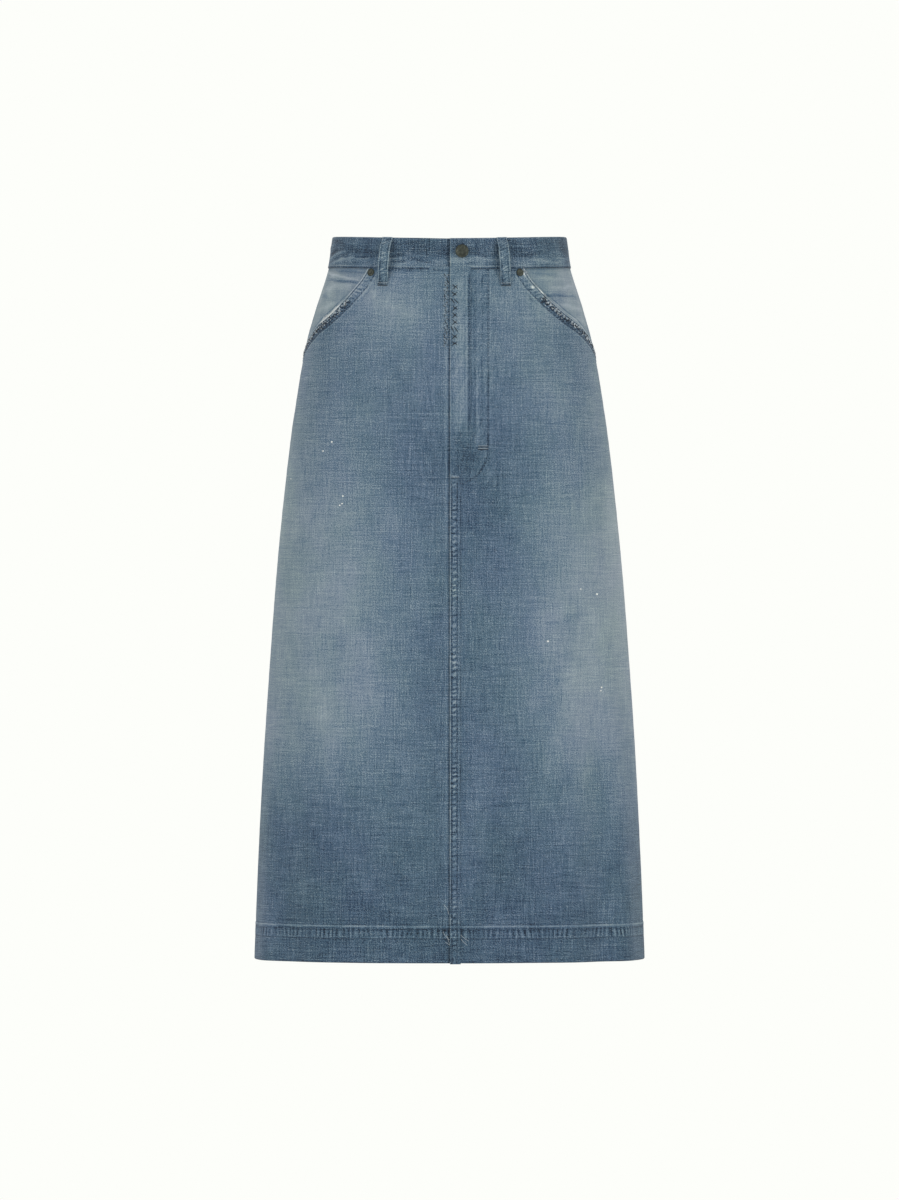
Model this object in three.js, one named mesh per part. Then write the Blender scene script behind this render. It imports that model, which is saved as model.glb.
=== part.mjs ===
// A midi denim skirt in the shape it has when it is worn, empty and open at waist and hem.
// Units are millimetres. +Z is up and the front faces -Y, so +X is the wearer's left.
// The origin is the middle of the waist opening, halfway up the waistband.
// Names say left and right as the wearer would.
//
// Two numbers place every point of the cloth: its turn, in degrees round the body from the centre
// front towards the wearer's left, and its drop, in millimetres below the waistband's top edge.
// A third, out, is how far it stands off the form along the form's own outward direction.

import * as THREE from "three";

// Driving sizes
const skirtLength = 865;
const waistbandHeight = 37;
const frontWaistDip = 4.5;
const cloth = 1.4;
const facingCloth = 1.2;
const seamGap = 0.3;
const hemDepth = 43;
const hemStep = 3;
const squareness = 2.25;

// The form: half width and the depths in front of and behind the side seams, down the skirt.
const sections = [
  { drop: 0, side: 139.5, front: 80, back: 88 },
  { drop: 37, side: 145, front: 84, back: 94 },
  { drop: 80, side: 158.5, front: 92, back: 107 },
  { drop: 130, side: 172.3, front: 98, back: 119 },
  { drop: 200, side: 184.5, front: 103, back: 129 },
  { drop: 280, side: 195, front: 107, back: 132 },
  { drop: 380, side: 205.5, front: 111, back: 131 },
  { drop: 500, side: 215, front: 116, back: 130 },
  { drop: 640, side: 224, front: 121, back: 131 },
  { drop: 760, side: 230, front: 125, back: 133 },
  { drop: 865, side: 234, front: 128, back: 136 },
];

// Soft vertical folds that open towards the hem. A negative depth is a trough.
const folds = [
  { turn: -66, spread: 7, depth: 2.5, from: 420 },
  { turn: -52, spread: 8, depth: -3, from: 460 },
  { turn: -22, spread: 10, depth: 1.5, from: 520 },
  { turn: 24, spread: 9, depth: -1.5, from: 520 },
  { turn: 37, spread: 7, depth: 3, from: 380 },
  { turn: 48.5, spread: 6.5, depth: -5, from: 340 },
  { turn: 61, spread: 7, depth: 4, from: 380 },
  { turn: 108, spread: 8, depth: -5, from: 300 },
  { turn: 126, spread: 9, depth: 5, from: 300 },
  { turn: 148, spread: 10, depth: -5, from: 340 },
  { turn: -106, spread: 9, depth: -4, from: 330 },
  { turn: -122, spread: 8, depth: 5, from: 280 },
  { turn: -140, spread: 9, depth: -6, from: 320 },
  { turn: -159, spread: 9, depth: 4, from: 400 },
];

// Centre seams: the wearer's left cloth laps over the right one, wider beside the fly.
const lapEdge = 0.6;
const lapRise = cloth + seamGap;
const lapUnder = 10;
const seamWidth = 12;
const flyWidth = 24;
const flyEnd = 290;
const flyTaper = 25;
const lapSlope = 3;

// The scooped pocket openings, from the waist seam to the side seam. They are not quite a pair:
// the one on the wearer's left starts nearer the centre front.
const pocketCurve = [
  { turn: 38, drop: 37 },
  { turn: 40.5, drop: 50 },
  { turn: 44, drop: 62 },
  { turn: 49, drop: 76.5 },
  { turn: 57, drop: 93 },
  { turn: 66, drop: 105 },
  { turn: 76, drop: 118 },
  { turn: 90, drop: 130 },
];
const pocketUneven = 2;
const facingUnder = 24;
const facingInset = 7;
const facingBehind = 0.4;

// Belt loops: where each one lies, how far its foot is raised over a lapped seam, and the bow that a
// belt slides behind.
const loopWidth = 12.4;
const loopThickness = 1.8;
const loops = [
  { name: "belt_loop_front_right", top: -30.5, bottom: -30.8, raised: 0 },
  { name: "belt_loop_front_left", top: 25.5, bottom: 25.7, raised: 0 },
  { name: "belt_loop_back_left", top: 138, bottom: 138, raised: 0 },
  { name: "belt_loop_back_centre", top: 180, bottom: 180, raised: lapRise },
  { name: "belt_loop_back_right", top: -138, bottom: -138, raised: 0 },
];
const loopBow = [
  { drop: -1.6, out: 2.3 },
  { drop: 3, out: 2.7 },
  { drop: 7.5, out: 5.8 },
  { drop: 12, out: 8.6 },
  { drop: 21, out: 9.8 },
  { drop: 31, out: 9.8 },
  { drop: 39, out: 8.0 },
  { drop: 45, out: 4.8 },
  { drop: 49.5, out: 2.1 },
  { drop: 53, out: 1.3 },
  { drop: 57, out: 1.2 },
];

// Waistband: its section, and how far the under end runs on and sinks below the upper one.
const waistbandOut = 1.0;
const waistbandIn = -2.2;
const waistbandColumns = 100;
const waistbandSection = [
  { drop: 1.2, out: waistbandOut },
  { drop: waistbandHeight / 2, out: waistbandOut + 0.2 },
  { drop: waistbandHeight - 0.8, out: waistbandOut },
  { drop: waistbandHeight, out: waistbandOut - 0.7 },
  { drop: waistbandHeight, out: waistbandIn + 0.7 },
  { drop: waistbandHeight - 0.8, out: waistbandIn },
  { drop: waistbandHeight / 2, out: waistbandIn + 0.2 },
  { drop: 1.2, out: waistbandIn },
  { drop: 0, out: waistbandIn + 1 },
  { drop: 0, out: waistbandOut - 1 },
];
const underlapEnd = 16;
const underlapEase = 14;
const underlapSunk = waistbandOut - waistbandIn + seamGap + 0.4;

// Metal
const buttonAt = { turn: 6, drop: 16 };
const rivetLeftAt = { turn: 33.6, drop: 42.2 };
const rivetRightAt = { turn: -38, drop: 42.2 };
const lathedSides = 24;

// Colours
const denim = new THREE.MeshStandardMaterial({ color: 0x5f7893, roughness: 0.92 });
const fadedDenim = new THREE.MeshStandardMaterial({ color: 0x7f929f, roughness: 0.94 });
const bandDenim = new THREE.MeshStandardMaterial({ color: 0x4f6780, roughness: 0.92 });
const darkBrass = new THREE.MeshStandardMaterial({ color: 0x4b4a3e, roughness: 0.5, metalness: 0.9 });

const radians = THREE.MathUtils.degToRad;
const ease = THREE.MathUtils.smoothstep;
const mix = THREE.MathUtils.lerp;

// A smooth curve through one column of a table, read at any value of another column.
function curveThrough(table, from, to) {
  const last = table.length - 1;
  const slope = (k) => {
    const a = table[Math.max(k - 1, 0)];
    const b = table[Math.min(k + 1, last)];
    return (b[to] - a[to]) / (b[from] - a[from]);
  };
  return (value) => {
    const x = THREE.MathUtils.clamp(value, table[0][from], table[last][from]);
    let k = 0;
    while (k < last - 1 && x > table[k + 1][from]) k += 1;
    const a = table[k];
    const b = table[k + 1];
    const width = b[from] - a[from];
    const t = (x - a[from]) / width;
    const leaving = slope(k) * width;
    const arriving = slope(k + 1) * width;
    return (
      a[to] * (1 + 2 * t) * (1 - t) ** 2 +
      leaving * t * (1 - t) ** 2 +
      b[to] * t * t * (3 - 2 * t) +
      arriving * t * t * (t - 1)
    );
  };
}

const halfWidth = curveThrough(sections, "drop", "side");
const frontDepth = curveThrough(sections, "drop", "front");
const backDepth = curveThrough(sections, "drop", "back");
const pocketDrop = curveThrough(pocketCurve, "turn", "drop");

// Where a pocket opening starts, on the side of the body that the sign tells.
function pocketStart(sense) {
  return pocketCurve[0].turn - sense * pocketUneven;
}

// The drop of a pocket opening's edge at a turn on either side.
function pocketEdge(turn) {
  const start = pocketStart(Math.sign(turn));
  return pocketDrop(mix(pocketCurve[0].turn, 90, (Math.abs(turn) - start) / (90 - start)));
}

// How far the folds push the cloth in or out.
function foldAt(turn, drop) {
  return folds.reduce((sum, fold) => {
    const away = (turn - fold.turn) / fold.spread;
    return sum + fold.depth * Math.exp(-away * away) * ease(drop, fold.from, skirtLength);
  }, 0);
}

// The form's own surface: a rounded oval at each drop, dipped a little at the front of the waist.
function formPoint(turn, drop) {
  const wrapped = THREE.MathUtils.euclideanModulo(turn + 180, 360) - 180;
  const sine = Math.sin(radians(wrapped));
  const cosine = Math.cos(radians(wrapped));
  const depth = cosine > 0 ? frontDepth(drop) : backDepth(drop);
  const power = Math.abs(sine) ** squareness + Math.abs(cosine) ** squareness;
  const full = power ** (-1 / squareness);
  const outward = new THREE.Vector3(sine / halfWidth(drop), -cosine / depth, 0).normalize();
  const dip = frontWaistDip * Math.max(cosine, 0) ** 2 * (1 - ease(drop, 0, skirtLength / 2));
  const height = waistbandHeight / 2 - drop - dip;
  return new THREE.Vector3(halfWidth(drop) * full * sine, -depth * full * cosine, height).addScaledVector(
    outward,
    foldAt(wrapped, drop),
  );
}

// The directions across, down and out of the cloth at one place.
function directions(turn, drop) {
  const step = 0.5;
  const across = formPoint(turn + step, drop).sub(formPoint(turn - step, drop)).normalize();
  const down = formPoint(turn, drop + step).sub(formPoint(turn, drop - step)).normalize();
  return { across, down, outward: new THREE.Vector3().crossVectors(down, across).normalize() };
}

function place(turn, drop, out) {
  return formPoint(turn, drop).addScaledVector(directions(turn, drop).outward, out);
}

// The turn at which the cloth lies a given distance across from the centre front or back.
function turnAcross(distance, drop) {
  return THREE.MathUtils.radToDeg(Math.asin(distance / halfWidth(drop)));
}

function geometryFrom(points, faces) {
  return new THREE.BufferGeometry().setFromPoints(points).setIndex(faces);
}

// A closed wall between an outer and an inner grid. Both take a column and a row.
function wall(columns, rows, outer, inner) {
  const points = [];
  const faces = [];
  const at = (layer, i, j) => (layer * rows + j) * columns + i;
  const quad = (a, b, c, d) => faces.push(a, b, c, a, c, d);
  [outer, inner].forEach((layer) => {
    for (let j = 0; j < rows; j += 1) for (let i = 0; i < columns; i += 1) points.push(layer(i, j));
  });
  for (let j = 0; j < rows - 1; j += 1) {
    for (let i = 0; i < columns - 1; i += 1) {
      quad(at(0, i, j), at(0, i, j + 1), at(0, i + 1, j + 1), at(0, i + 1, j));
      quad(at(1, i, j), at(1, i + 1, j), at(1, i + 1, j + 1), at(1, i, j + 1));
    }
  }
  for (let i = 0; i < columns - 1; i += 1) {
    quad(at(1, i, 0), at(0, i, 0), at(0, i + 1, 0), at(1, i + 1, 0));
    quad(at(0, i, rows - 1), at(1, i, rows - 1), at(1, i + 1, rows - 1), at(0, i + 1, rows - 1));
  }
  for (let j = 0; j < rows - 1; j += 1) {
    quad(at(1, 0, j), at(1, 0, j + 1), at(0, 0, j + 1), at(0, 0, j));
    quad(at(0, columns - 1, j), at(0, columns - 1, j + 1), at(1, columns - 1, j + 1), at(1, columns - 1, j));
  }
  return geometryFrom(points, faces);
}

// A closed bar through rings of points, with a flat fan over each end.
function bar(rings) {
  const around = rings[0].length;
  const faces = [];
  for (let k = 0; k < rings.length - 1; k += 1) {
    for (let m = 0; m < around; m += 1) {
      const a = k * around + m;
      const b = k * around + ((m + 1) % around);
      faces.push(a, b + around, b, a, a + around, b + around);
    }
  }
  const end = (rings.length - 1) * around;
  for (let m = 1; m < around - 1; m += 1) faces.push(0, m, m + 1, end, end + m + 1, end + m);
  return geometryFrom(rings.flat(), faces);
}

const skirt = new THREE.Group();

function add(name, geometry, material) {
  const mesh = new THREE.Mesh(geometry, material);
  mesh.name = name;
  skirt.add(mesh);
  return mesh;
}

// Rows of a panel run from its top edge to the hem. The last ones are where the hem is turned up inside,
// and hemStep is the short slope into it.
const bodyRows = 18;
const rowSpread = 1.4;
const hemRows = [hemDepth, hemDepth / 2, 0];
const panelRows = bodyRows + hemRows.length;
const hemStart = skirtLength - hemDepth;

function rowDrop(j, top) {
  if (j >= bodyRows) return skirtLength - hemRows[j - bodyRows];
  return mix(top, hemStart - hemStep, (j / (bodyRows - 1)) ** rowSpread);
}

// How far the lapped edge of a left panel stands out, by its distance from the centre seam.
function lapOut(distance, drop, besideFly) {
  const fly = besideFly ? 1 - ease(drop, flyEnd - flyTaper, flyEnd) : 0;
  const width = mix(seamWidth, flyWidth, fly);
  return lapRise * (1 - ease(distance, width, width + lapSlope));
}

// A panel's wall, twice as thick where the hem is turned up, except in the lapped strip. Stations give,
// for each column, the turn at a drop and the distance from the lapped edge.
function panel(stations, topOf, besideFly) {
  const spot = (i, j) => {
    const top = topOf(stations[i].turn(waistbandHeight));
    const drop = rowDrop(j, top);
    const turn = stations[i].turn(drop);
    const lap = stations[i].distance === undefined ? 0 : lapOut(stations[i].distance, drop, besideFly);
    return { turn, drop, lap };
  };
  const outer = (i, j) => {
    const { turn, drop, lap } = spot(i, j);
    return place(turn, drop, lap);
  };
  const inner = (i, j) => {
    const { turn, drop, lap } = spot(i, j);
    const turnUp = j >= bodyRows ? cloth * (1 - lap / lapRise) : 0;
    return place(turn, drop, lap - cloth - turnUp);
  };
  return wall(stations.length, panelRows, outer, inner);
}

// Columns at fixed distances from a centre seam, then even ones across each stretch to the side seam.
function stationsFrom(centre, sense, distances, stretches) {
  const near = distances.map((distance) => ({
    distance,
    turn: (drop) => centre + sense * turnAcross(distance, drop),
  }));
  const last = distances[distances.length - 1];
  const ends = [(drop) => turnAcross(last, drop), ...stretches.map(({ to }) => to)];
  const far = stretches.flatMap(({ columns }, k) =>
    Array.from({ length: columns }, (_, c) => ({
      turn: (drop) => centre + sense * mix(ends[k](drop), ends[k + 1](drop), (c + 1) / columns),
    })),
  );
  return [...near, ...far];
}

// A side seam lies at a quarter turn, less half the gap between the panels.
function sideEdge(depth) {
  return (drop) => 90 - THREE.MathUtils.radToDeg(seamGap / 2 / depth(drop));
}

const frontSide = sideEdge(frontDepth);
const backSide = sideEdge(backDepth);
const lapStations = [lapEdge, seamWidth / 2, seamWidth, seamWidth + lapSlope, flyWidth, flyWidth + lapSlope];
const underStations = [-lapUnder, 0, lapUnder];
const topSeam = waistbandHeight + seamGap;
const backLapColumns = 4;
const thighColumns = 6;
const pocketColumns = 13;
const backColumns = 20;
const backStretches = [{ to: backSide, columns: backColumns }];

function frontStretches(sense) {
  return [
    { to: () => pocketStart(sense), columns: thighColumns },
    { to: frontSide, columns: pocketColumns },
  ];
}

function frontTop(turn) {
  return Math.max(topSeam, pocketEdge(turn));
}

function backTop() {
  return topSeam;
}

// Under the lap a panel stays on the form, so its own stations carry no distance.
function plainEdge(stations) {
  return stations.map(({ turn }) => ({ turn }));
}

const stationsFrontLeft = stationsFrom(0, 1, lapStations, frontStretches(1));
const stationsFrontRight = plainEdge(stationsFrom(0, -1, underStations, frontStretches(-1))).reverse();
const stationsBackLeft = stationsFrom(180, -1, lapStations.slice(0, backLapColumns), backStretches).reverse();
const stationsBackRight = plainEdge(stationsFrom(180, 1, underStations, backStretches));
add("front_left", panel(stationsFrontLeft, frontTop, true), denim);
add("front_right", panel(stationsFrontRight, frontTop, false), denim);
add("back_left", panel(stationsBackLeft, backTop, false), denim);
add("back_right", panel(stationsBackRight, backTop, false), denim);

// The cloth that shows inside each pocket opening, one layer behind the front and on the same columns.
function facing(sense) {
  const rows = 7;
  const hidden = [facingInset, facingInset / 2].map((before) => ({
    turn: () => sense * (pocketStart(sense) - before),
  }));
  const shared = stationsFrom(0, sense, lapStations, frontStretches(sense)).slice(-pocketColumns - 1);
  const stations = [...hidden, ...shared];
  if (sense < 0) stations.reverse();
  const spot = (i, j) => {
    const { turn } = stations[i];
    const bottom = Math.max(topSeam, pocketEdge(turn(topSeam))) + facingUnder;
    const drop = mix(topSeam, bottom, j / (rows - 1));
    return { turn: turn(drop), drop };
  };
  const layer = (out) => (i, j) => {
    const { turn, drop } = spot(i, j);
    return place(turn, drop, out);
  };
  const outer = -cloth - facingBehind;
  return wall(stations.length, rows, layer(outer), layer(outer - facingCloth));
}

add("pocket_facing_left", facing(1), fadedDenim);
add("pocket_facing_right", facing(-1), fadedDenim);

// The waistband is one strip, from its under end round the back to the upper end at the centre front.
function waistband() {
  const upperEnd = turnAcross(lapEdge, 0) - 360;
  const rings = [];
  for (let c = 0; c <= waistbandColumns; c += 1) {
    const turn = mix(underlapEnd, upperEnd, c / waistbandColumns);
    const sunk = ease(turn, -underlapEase, 0) * underlapSunk;
    rings.push(waistbandSection.map(({ drop, out }) => place(turn, drop, out - sunk)));
  }
  return bar(rings);
}

add("waistband", waistband(), bandDenim);

// A belt loop is a flat strip with round edges, swept along its bow.
function beltLoop({ top, bottom, raised }) {
  const bow = new THREE.CatmullRomCurve3(loopBow.map(({ drop, out }) => new THREE.Vector3(drop, out, 0)));
  const stations = 15;
  const first = loopBow[0].drop;
  const span = loopBow[loopBow.length - 1].drop - first;
  const halfAcross = loopWidth / 2;
  const half = loopThickness / 2;
  const section = [
    [-halfAcross, -half / 2],
    [-halfAcross, half / 2],
    [-halfAcross + half, half],
    [halfAcross - half, half],
    [halfAcross, half / 2],
    [halfAcross, -half / 2],
    [halfAcross - half, -half],
    [-halfAcross + half, -half],
  ];
  const rings = [];
  for (let k = 0; k < stations; k += 1) {
    const { x: drop, y: out } = bow.getPointAt(k / (stations - 1));
    const heading = bow.getTangentAt(k / (stations - 1));
    const turn = mix(top, bottom, (drop - first) / span);
    const { across, down, outward } = directions(turn, drop);
    const along = down.clone().multiplyScalar(heading.x).addScaledVector(outward, heading.y).normalize();
    const face = new THREE.Vector3().crossVectors(along, across).normalize();
    const centre = place(turn, drop, out + raised * ease(drop, waistbandHeight / 2, waistbandHeight));
    rings.push(section.map(([a, f]) => centre.clone().addScaledVector(across, a).addScaledVector(face, f)));
  }
  return bar(rings);
}

loops.forEach((loop) => add(loop.name, beltLoop(loop), bandDenim));

// A turned metal piece that stands on the cloth, its profile given as radius and height.
function turned(name, profile, { turn, drop }, onOut) {
  const points = profile.map(([radius, height]) => new THREE.Vector2(radius, height));
  const mesh = add(name, new THREE.LatheGeometry(points, lathedSides), darkBrass);
  mesh.position.copy(place(turn, drop, onOut + seamGap));
  mesh.quaternion.setFromUnitVectors(new THREE.Vector3(0, 1, 0), directions(turn, drop).outward);
}

const buttonProfile = [
  [0, 0],
  [3.6, 0],
  [3.6, 1.4],
  [7.2, 1.5],
  [7.9, 2.1],
  [7.9, 2.9],
  [7.2, 3.5],
  [6.0, 3.5],
  [5.2, 3.1],
  [0, 3.0],
];
const rivetProfile = [
  [0, 0],
  [4.4, 0],
  [4.5, 0.5],
  [3.8, 1.1],
  [2.4, 1.3],
  [1.5, 1.0],
  [0, 1.0],
];

turned("button", buttonProfile, buttonAt, waistbandOut + 0.2);
turned("rivet_left", rivetProfile, rivetLeftAt, 0);
turned("rivet_right", rivetProfile, rivetRightAt, 0);

export default skirt;
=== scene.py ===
# %% [markdown]
# # A midi denim skirt, worn but empty
# The skirt keeps the shape of a body that isn't there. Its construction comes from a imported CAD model,
# which is loaded here as a fixed frame and never changed. Everything that makes it look like washed
# denim is made in this script: thin cloth, seams that pucker, stitches, wear and frayed threads.

# %% Load the frame
import math

import bmesh
import bpy
import numpy as np
from mathutils import Matrix, Vector


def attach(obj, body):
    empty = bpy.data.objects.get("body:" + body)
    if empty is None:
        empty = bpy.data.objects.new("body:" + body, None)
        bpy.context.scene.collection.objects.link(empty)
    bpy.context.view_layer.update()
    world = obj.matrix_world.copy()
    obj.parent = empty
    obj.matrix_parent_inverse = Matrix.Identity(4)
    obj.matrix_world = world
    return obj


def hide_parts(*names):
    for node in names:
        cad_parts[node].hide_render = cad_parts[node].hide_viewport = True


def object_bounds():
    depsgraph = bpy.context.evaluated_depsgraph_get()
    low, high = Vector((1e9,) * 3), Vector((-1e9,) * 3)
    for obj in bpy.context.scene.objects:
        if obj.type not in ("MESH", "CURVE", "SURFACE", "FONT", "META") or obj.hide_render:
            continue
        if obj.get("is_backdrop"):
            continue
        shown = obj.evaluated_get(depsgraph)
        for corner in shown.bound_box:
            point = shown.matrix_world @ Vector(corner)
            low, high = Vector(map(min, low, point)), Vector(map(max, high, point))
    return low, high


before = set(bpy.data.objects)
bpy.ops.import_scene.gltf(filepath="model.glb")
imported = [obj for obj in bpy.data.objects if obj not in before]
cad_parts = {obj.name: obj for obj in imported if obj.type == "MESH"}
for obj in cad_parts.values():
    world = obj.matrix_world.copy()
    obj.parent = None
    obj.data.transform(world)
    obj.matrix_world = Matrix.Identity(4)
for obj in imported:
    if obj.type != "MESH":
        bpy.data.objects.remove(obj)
cad_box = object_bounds()
print("CAD nodes:", sorted(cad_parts))

# %% [markdown]
# ## The form under the cloth
# A garment is easiest to describe on the body that it hangs on. Three numbers place every point: its
# turn round the body in degrees from the centre front, its drop below the waist in millimetres, and
# how far it stands out from the form. The sizes repeat those of the CAD model, so the cloth lies where
# its solids are. Only the pocket openings end 8 mm lower at the side seam.

# %% Sizes of the skirt, in millimetres
SKIRT_LENGTH = 865
WAISTBAND_HEIGHT = 37
FRONT_WAIST_DIP = 4.5
SQUARENESS = 2.25
SECTIONS = {
    "drop": (0, 37, 80, 130, 200, 280, 380, 500, 640, 760, 865),
    "side": (139.5, 145, 158.5, 172.3, 184.5, 195, 205.5, 215, 224, 230, 234),
    "front": (80, 84, 92, 98, 103, 107, 111, 116, 121, 125, 128),
    "back": (88, 94, 107, 119, 129, 132, 131, 130, 131, 133, 136),
}
FOLDS = {
    "turn": (-66, -52, -22, 24, 37, 48.5, 61, 108, 126, 148, -106, -122, -140, -159),
    "spread": (7, 8, 10, 9, 7, 6.5, 7, 8, 9, 10, 9, 8, 9, 9),
    "depth": (2.5, -3, 1.5, -1.5, 3, -5, 4, -5, 5, -5, -4, 5, -6, 4),
    "starts": (420, 460, 520, 520, 380, 340, 380, 300, 300, 340, 330, 280, 320, 400),
}


def ease(value, low, high):
    """0 below low, 1 above high, and a smooth step between."""
    t = np.clip((value - low) / (high - low), 0, 1)
    return t * t * (3 - 2 * t)


def mix(a, b, t):
    return a + (b - a) * t


def bell(value, middle, width):
    """1 at the middle, and almost nothing two widths away."""
    return np.exp(-(((value - middle) / width) ** 2))


def plateau(value, middle, width):
    """Like a bell, with a flatter top and steeper sides."""
    return np.exp(-(((value - middle) / width) ** 4))


def rows_of(table):
    """The rows of a table that is kept as named columns."""
    return zip(*table.values())


def smooth_curve(stations, values):
    """A smooth curve through a few values, read at any place between the first and last station."""
    x, y = np.array(stations, float), np.array(values, float)
    before = np.maximum(np.arange(len(x)) - 1, 0)
    after = np.minimum(np.arange(len(x)) + 1, len(x) - 1)
    slope = (y[after] - y[before]) / (x[after] - x[before])

    def read(value):
        at = np.clip(value, x[0], x[-1])
        k = np.clip(np.searchsorted(x, at, side="right") - 1, 0, len(x) - 2)
        width = x[k + 1] - x[k]
        t = (at - x[k]) / width
        level = y[k] * (1 + 2 * t) * (1 - t) ** 2 + y[k + 1] * t * t * (3 - 2 * t)
        return level + width * t * (1 - t) * (slope[k] * (1 - t) - slope[k + 1] * t)

    return read


half_width = smooth_curve(SECTIONS["drop"], SECTIONS["side"])
front_depth = smooth_curve(SECTIONS["drop"], SECTIONS["front"])
back_depth = smooth_curve(SECTIONS["drop"], SECTIONS["back"])


# %% The form's surface, and places on it
def wrap(turn):
    return (turn + 180) % 360 - 180


def fold_out(turn, drop):
    """How far the soft vertical folds push the cloth in or out."""
    out = np.zeros(np.broadcast(turn, drop).shape)
    for centre, spread, depth, starts in rows_of(FOLDS):
        out = out + depth * bell(turn, centre, spread) * ease(drop, starts, SKIRT_LENGTH)
    return out


def form(turn, drop):
    """Points on the form, in millimetres."""
    turn, drop = np.broadcast_arrays(wrap(turn), drop)
    sine, cosine = np.sin(np.radians(turn)), np.cos(np.radians(turn))
    side = half_width(drop)
    depth = np.where(cosine > 0, front_depth(drop), back_depth(drop))
    full = (np.abs(sine) ** SQUARENESS + np.abs(cosine) ** SQUARENESS) ** (-1 / SQUARENESS)
    outward = np.stack([sine / side, -cosine / depth, 0 * full], -1)
    outward /= np.linalg.norm(outward, axis=-1, keepdims=True)
    dip = FRONT_WAIST_DIP * np.maximum(cosine, 0) ** 2 * (1 - ease(drop, 0, SKIRT_LENGTH / 2))
    height = WAISTBAND_HEIGHT / 2 - drop - dip
    point = np.stack([side * full * sine, -depth * full * cosine, height], -1)
    return point + outward * fold_out(turn, drop)[..., None]


def directions(turn, drop):
    """Unit vectors across, down and out of the cloth."""
    step = 0.5
    across = form(turn + step, drop) - form(turn - step, drop)
    down = form(turn, drop + step) - form(turn, drop - step)
    across /= np.linalg.norm(across, axis=-1, keepdims=True)
    down /= np.linalg.norm(down, axis=-1, keepdims=True)
    outward = np.cross(down, across)
    return across, down, outward / np.linalg.norm(outward, axis=-1, keepdims=True)


def place(turn, drop, out):
    """Points on the cloth, in metres."""
    return (form(turn, drop) + directions(turn, drop)[2] * np.asarray(out)[..., None]) / 1000


# %% [markdown]
# ## Measuring across the cloth
# A sewer measures along the cloth with a tape, not in degrees. This small table holds how far each
# turn lies from the centre front along the cloth, so a seam can be put 12 mm from an edge, and the
# same distance becomes the weave's own coordinate on every piece.

# %% A tape measure round the form
FRONT, BACK = 0, 180
TAPE_STEP = 10.0
TAPE_TURNS = np.arange(-200.0, 401.0)
TAPE_DROPS = np.arange(-10.0, 881.0, TAPE_STEP)


def measure_tape():
    turns, drops = np.meshgrid(TAPE_TURNS, TAPE_DROPS)
    steps = np.linalg.norm(np.diff(form(turns, drops), axis=1), axis=-1)
    lengths = np.concatenate([np.zeros((len(TAPE_DROPS), 1)), np.cumsum(steps, axis=1)], axis=1)
    front = np.searchsorted(TAPE_TURNS, FRONT)
    return lengths - lengths[:, front : front + 1]


TAPE = measure_tape()


def across_at(turn, drop):
    """How far a turn lies from the centre front, in millimetres along the cloth."""
    column = np.clip(turn - TAPE_TURNS[0], 0, len(TAPE_TURNS) - 1.001)
    row = np.clip((drop - TAPE_DROPS[0]) / TAPE_STEP, 0, len(TAPE_DROPS) - 1.001)
    i, j = column.astype(int), row.astype(int)
    x, y = column - i, row - j
    upper = mix(TAPE[j, i], TAPE[j, i + 1], x)
    return mix(upper, mix(TAPE[j + 1, i], TAPE[j + 1, i + 1], x), y)


def turn_at(across, drop):
    """The turn that lies a given distance along the cloth from the centre front."""
    across, drop = np.broadcast_arrays(np.asarray(across, float), np.asarray(drop, float))
    turn = across / 3
    for _ in range(6):
        rate = (across_at(turn + 1, drop) - across_at(turn - 1, drop)) / 2
        turn = turn + (across - across_at(turn, drop)) / rate
    return turn


def from_seam(turn, seam, drop):
    """How far a turn lies from a seam at another turn, along the cloth."""
    return across_at(turn, drop) - across_at(seam, drop)


def beside_seam(seam, offset, drop):
    """The turn that lies an offset along the cloth from a seam."""
    return turn_at(across_at(seam, drop) + offset, drop)


waist = float(np.ptp(TAPE[1]) * 360 / np.ptp(TAPE_TURNS))
print("Waist round its top edge:", round(waist), "mm, roughly")

# %% [markdown]
# ## Denim in nodes
# Denim is woven from blue threads one way and pale ones the other, so washed denim is never one
# colour. The material starts from a tone that each piece carries at its points, from dark to worn
# white. Thin streaks both ways stand for uneven threads, and soft blots for the wash. The threads
# show more in dark cloth than in faded cloth. The same pattern drives a slight bump. Nodes keep all
# of it sharp at any distance, where a picture would blur.

# %% Helpers for materials
DENIM_COLOURS = {
    0.12: (24, 31, 43),
    0.20: (42, 53, 70),
    0.285: (51, 74, 97),
    0.38: (72, 98, 121),
    0.49: (102, 125, 145),
    0.57: (134, 149, 158),
    0.70: (167, 180, 188),
    0.88: (221, 226, 227),
}


def linear(colour):
    """A screen colour from 0 to 255 as the light that a shader works with."""
    channels = [c / 255 for c in colour]
    return [c / 12.92 if c <= 0.04045 else ((c + 0.055) / 1.055) ** 2.4 for c in channels] + [1]


def new_material(name, settings):
    """A material, its nodes, and its shader with some constants set."""
    material = bpy.data.materials.new(name)
    material.use_nodes = True
    shader = material.node_tree.nodes["Principled BSDF"]
    for socket, value in settings.items():
        shader.inputs[socket].default_value = value
    return material, material.node_tree, shader


def add_node(tree, kind, inputs=(), operation=None):
    """A new node. Each input, by its name or number, is a constant or another node's output."""
    node = tree.nodes.new("ShaderNode" + kind)
    if operation:
        node.operation = operation
    for socket, value in dict(inputs).items():
        if isinstance(value, bpy.types.NodeSocket):
            tree.links.new(value, node.inputs[socket])
        else:
            node.inputs[socket].default_value = value
    return node


def math_node(tree, operation, *values):
    return add_node(tree, "Math", enumerate(values), operation).outputs[0]


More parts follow.
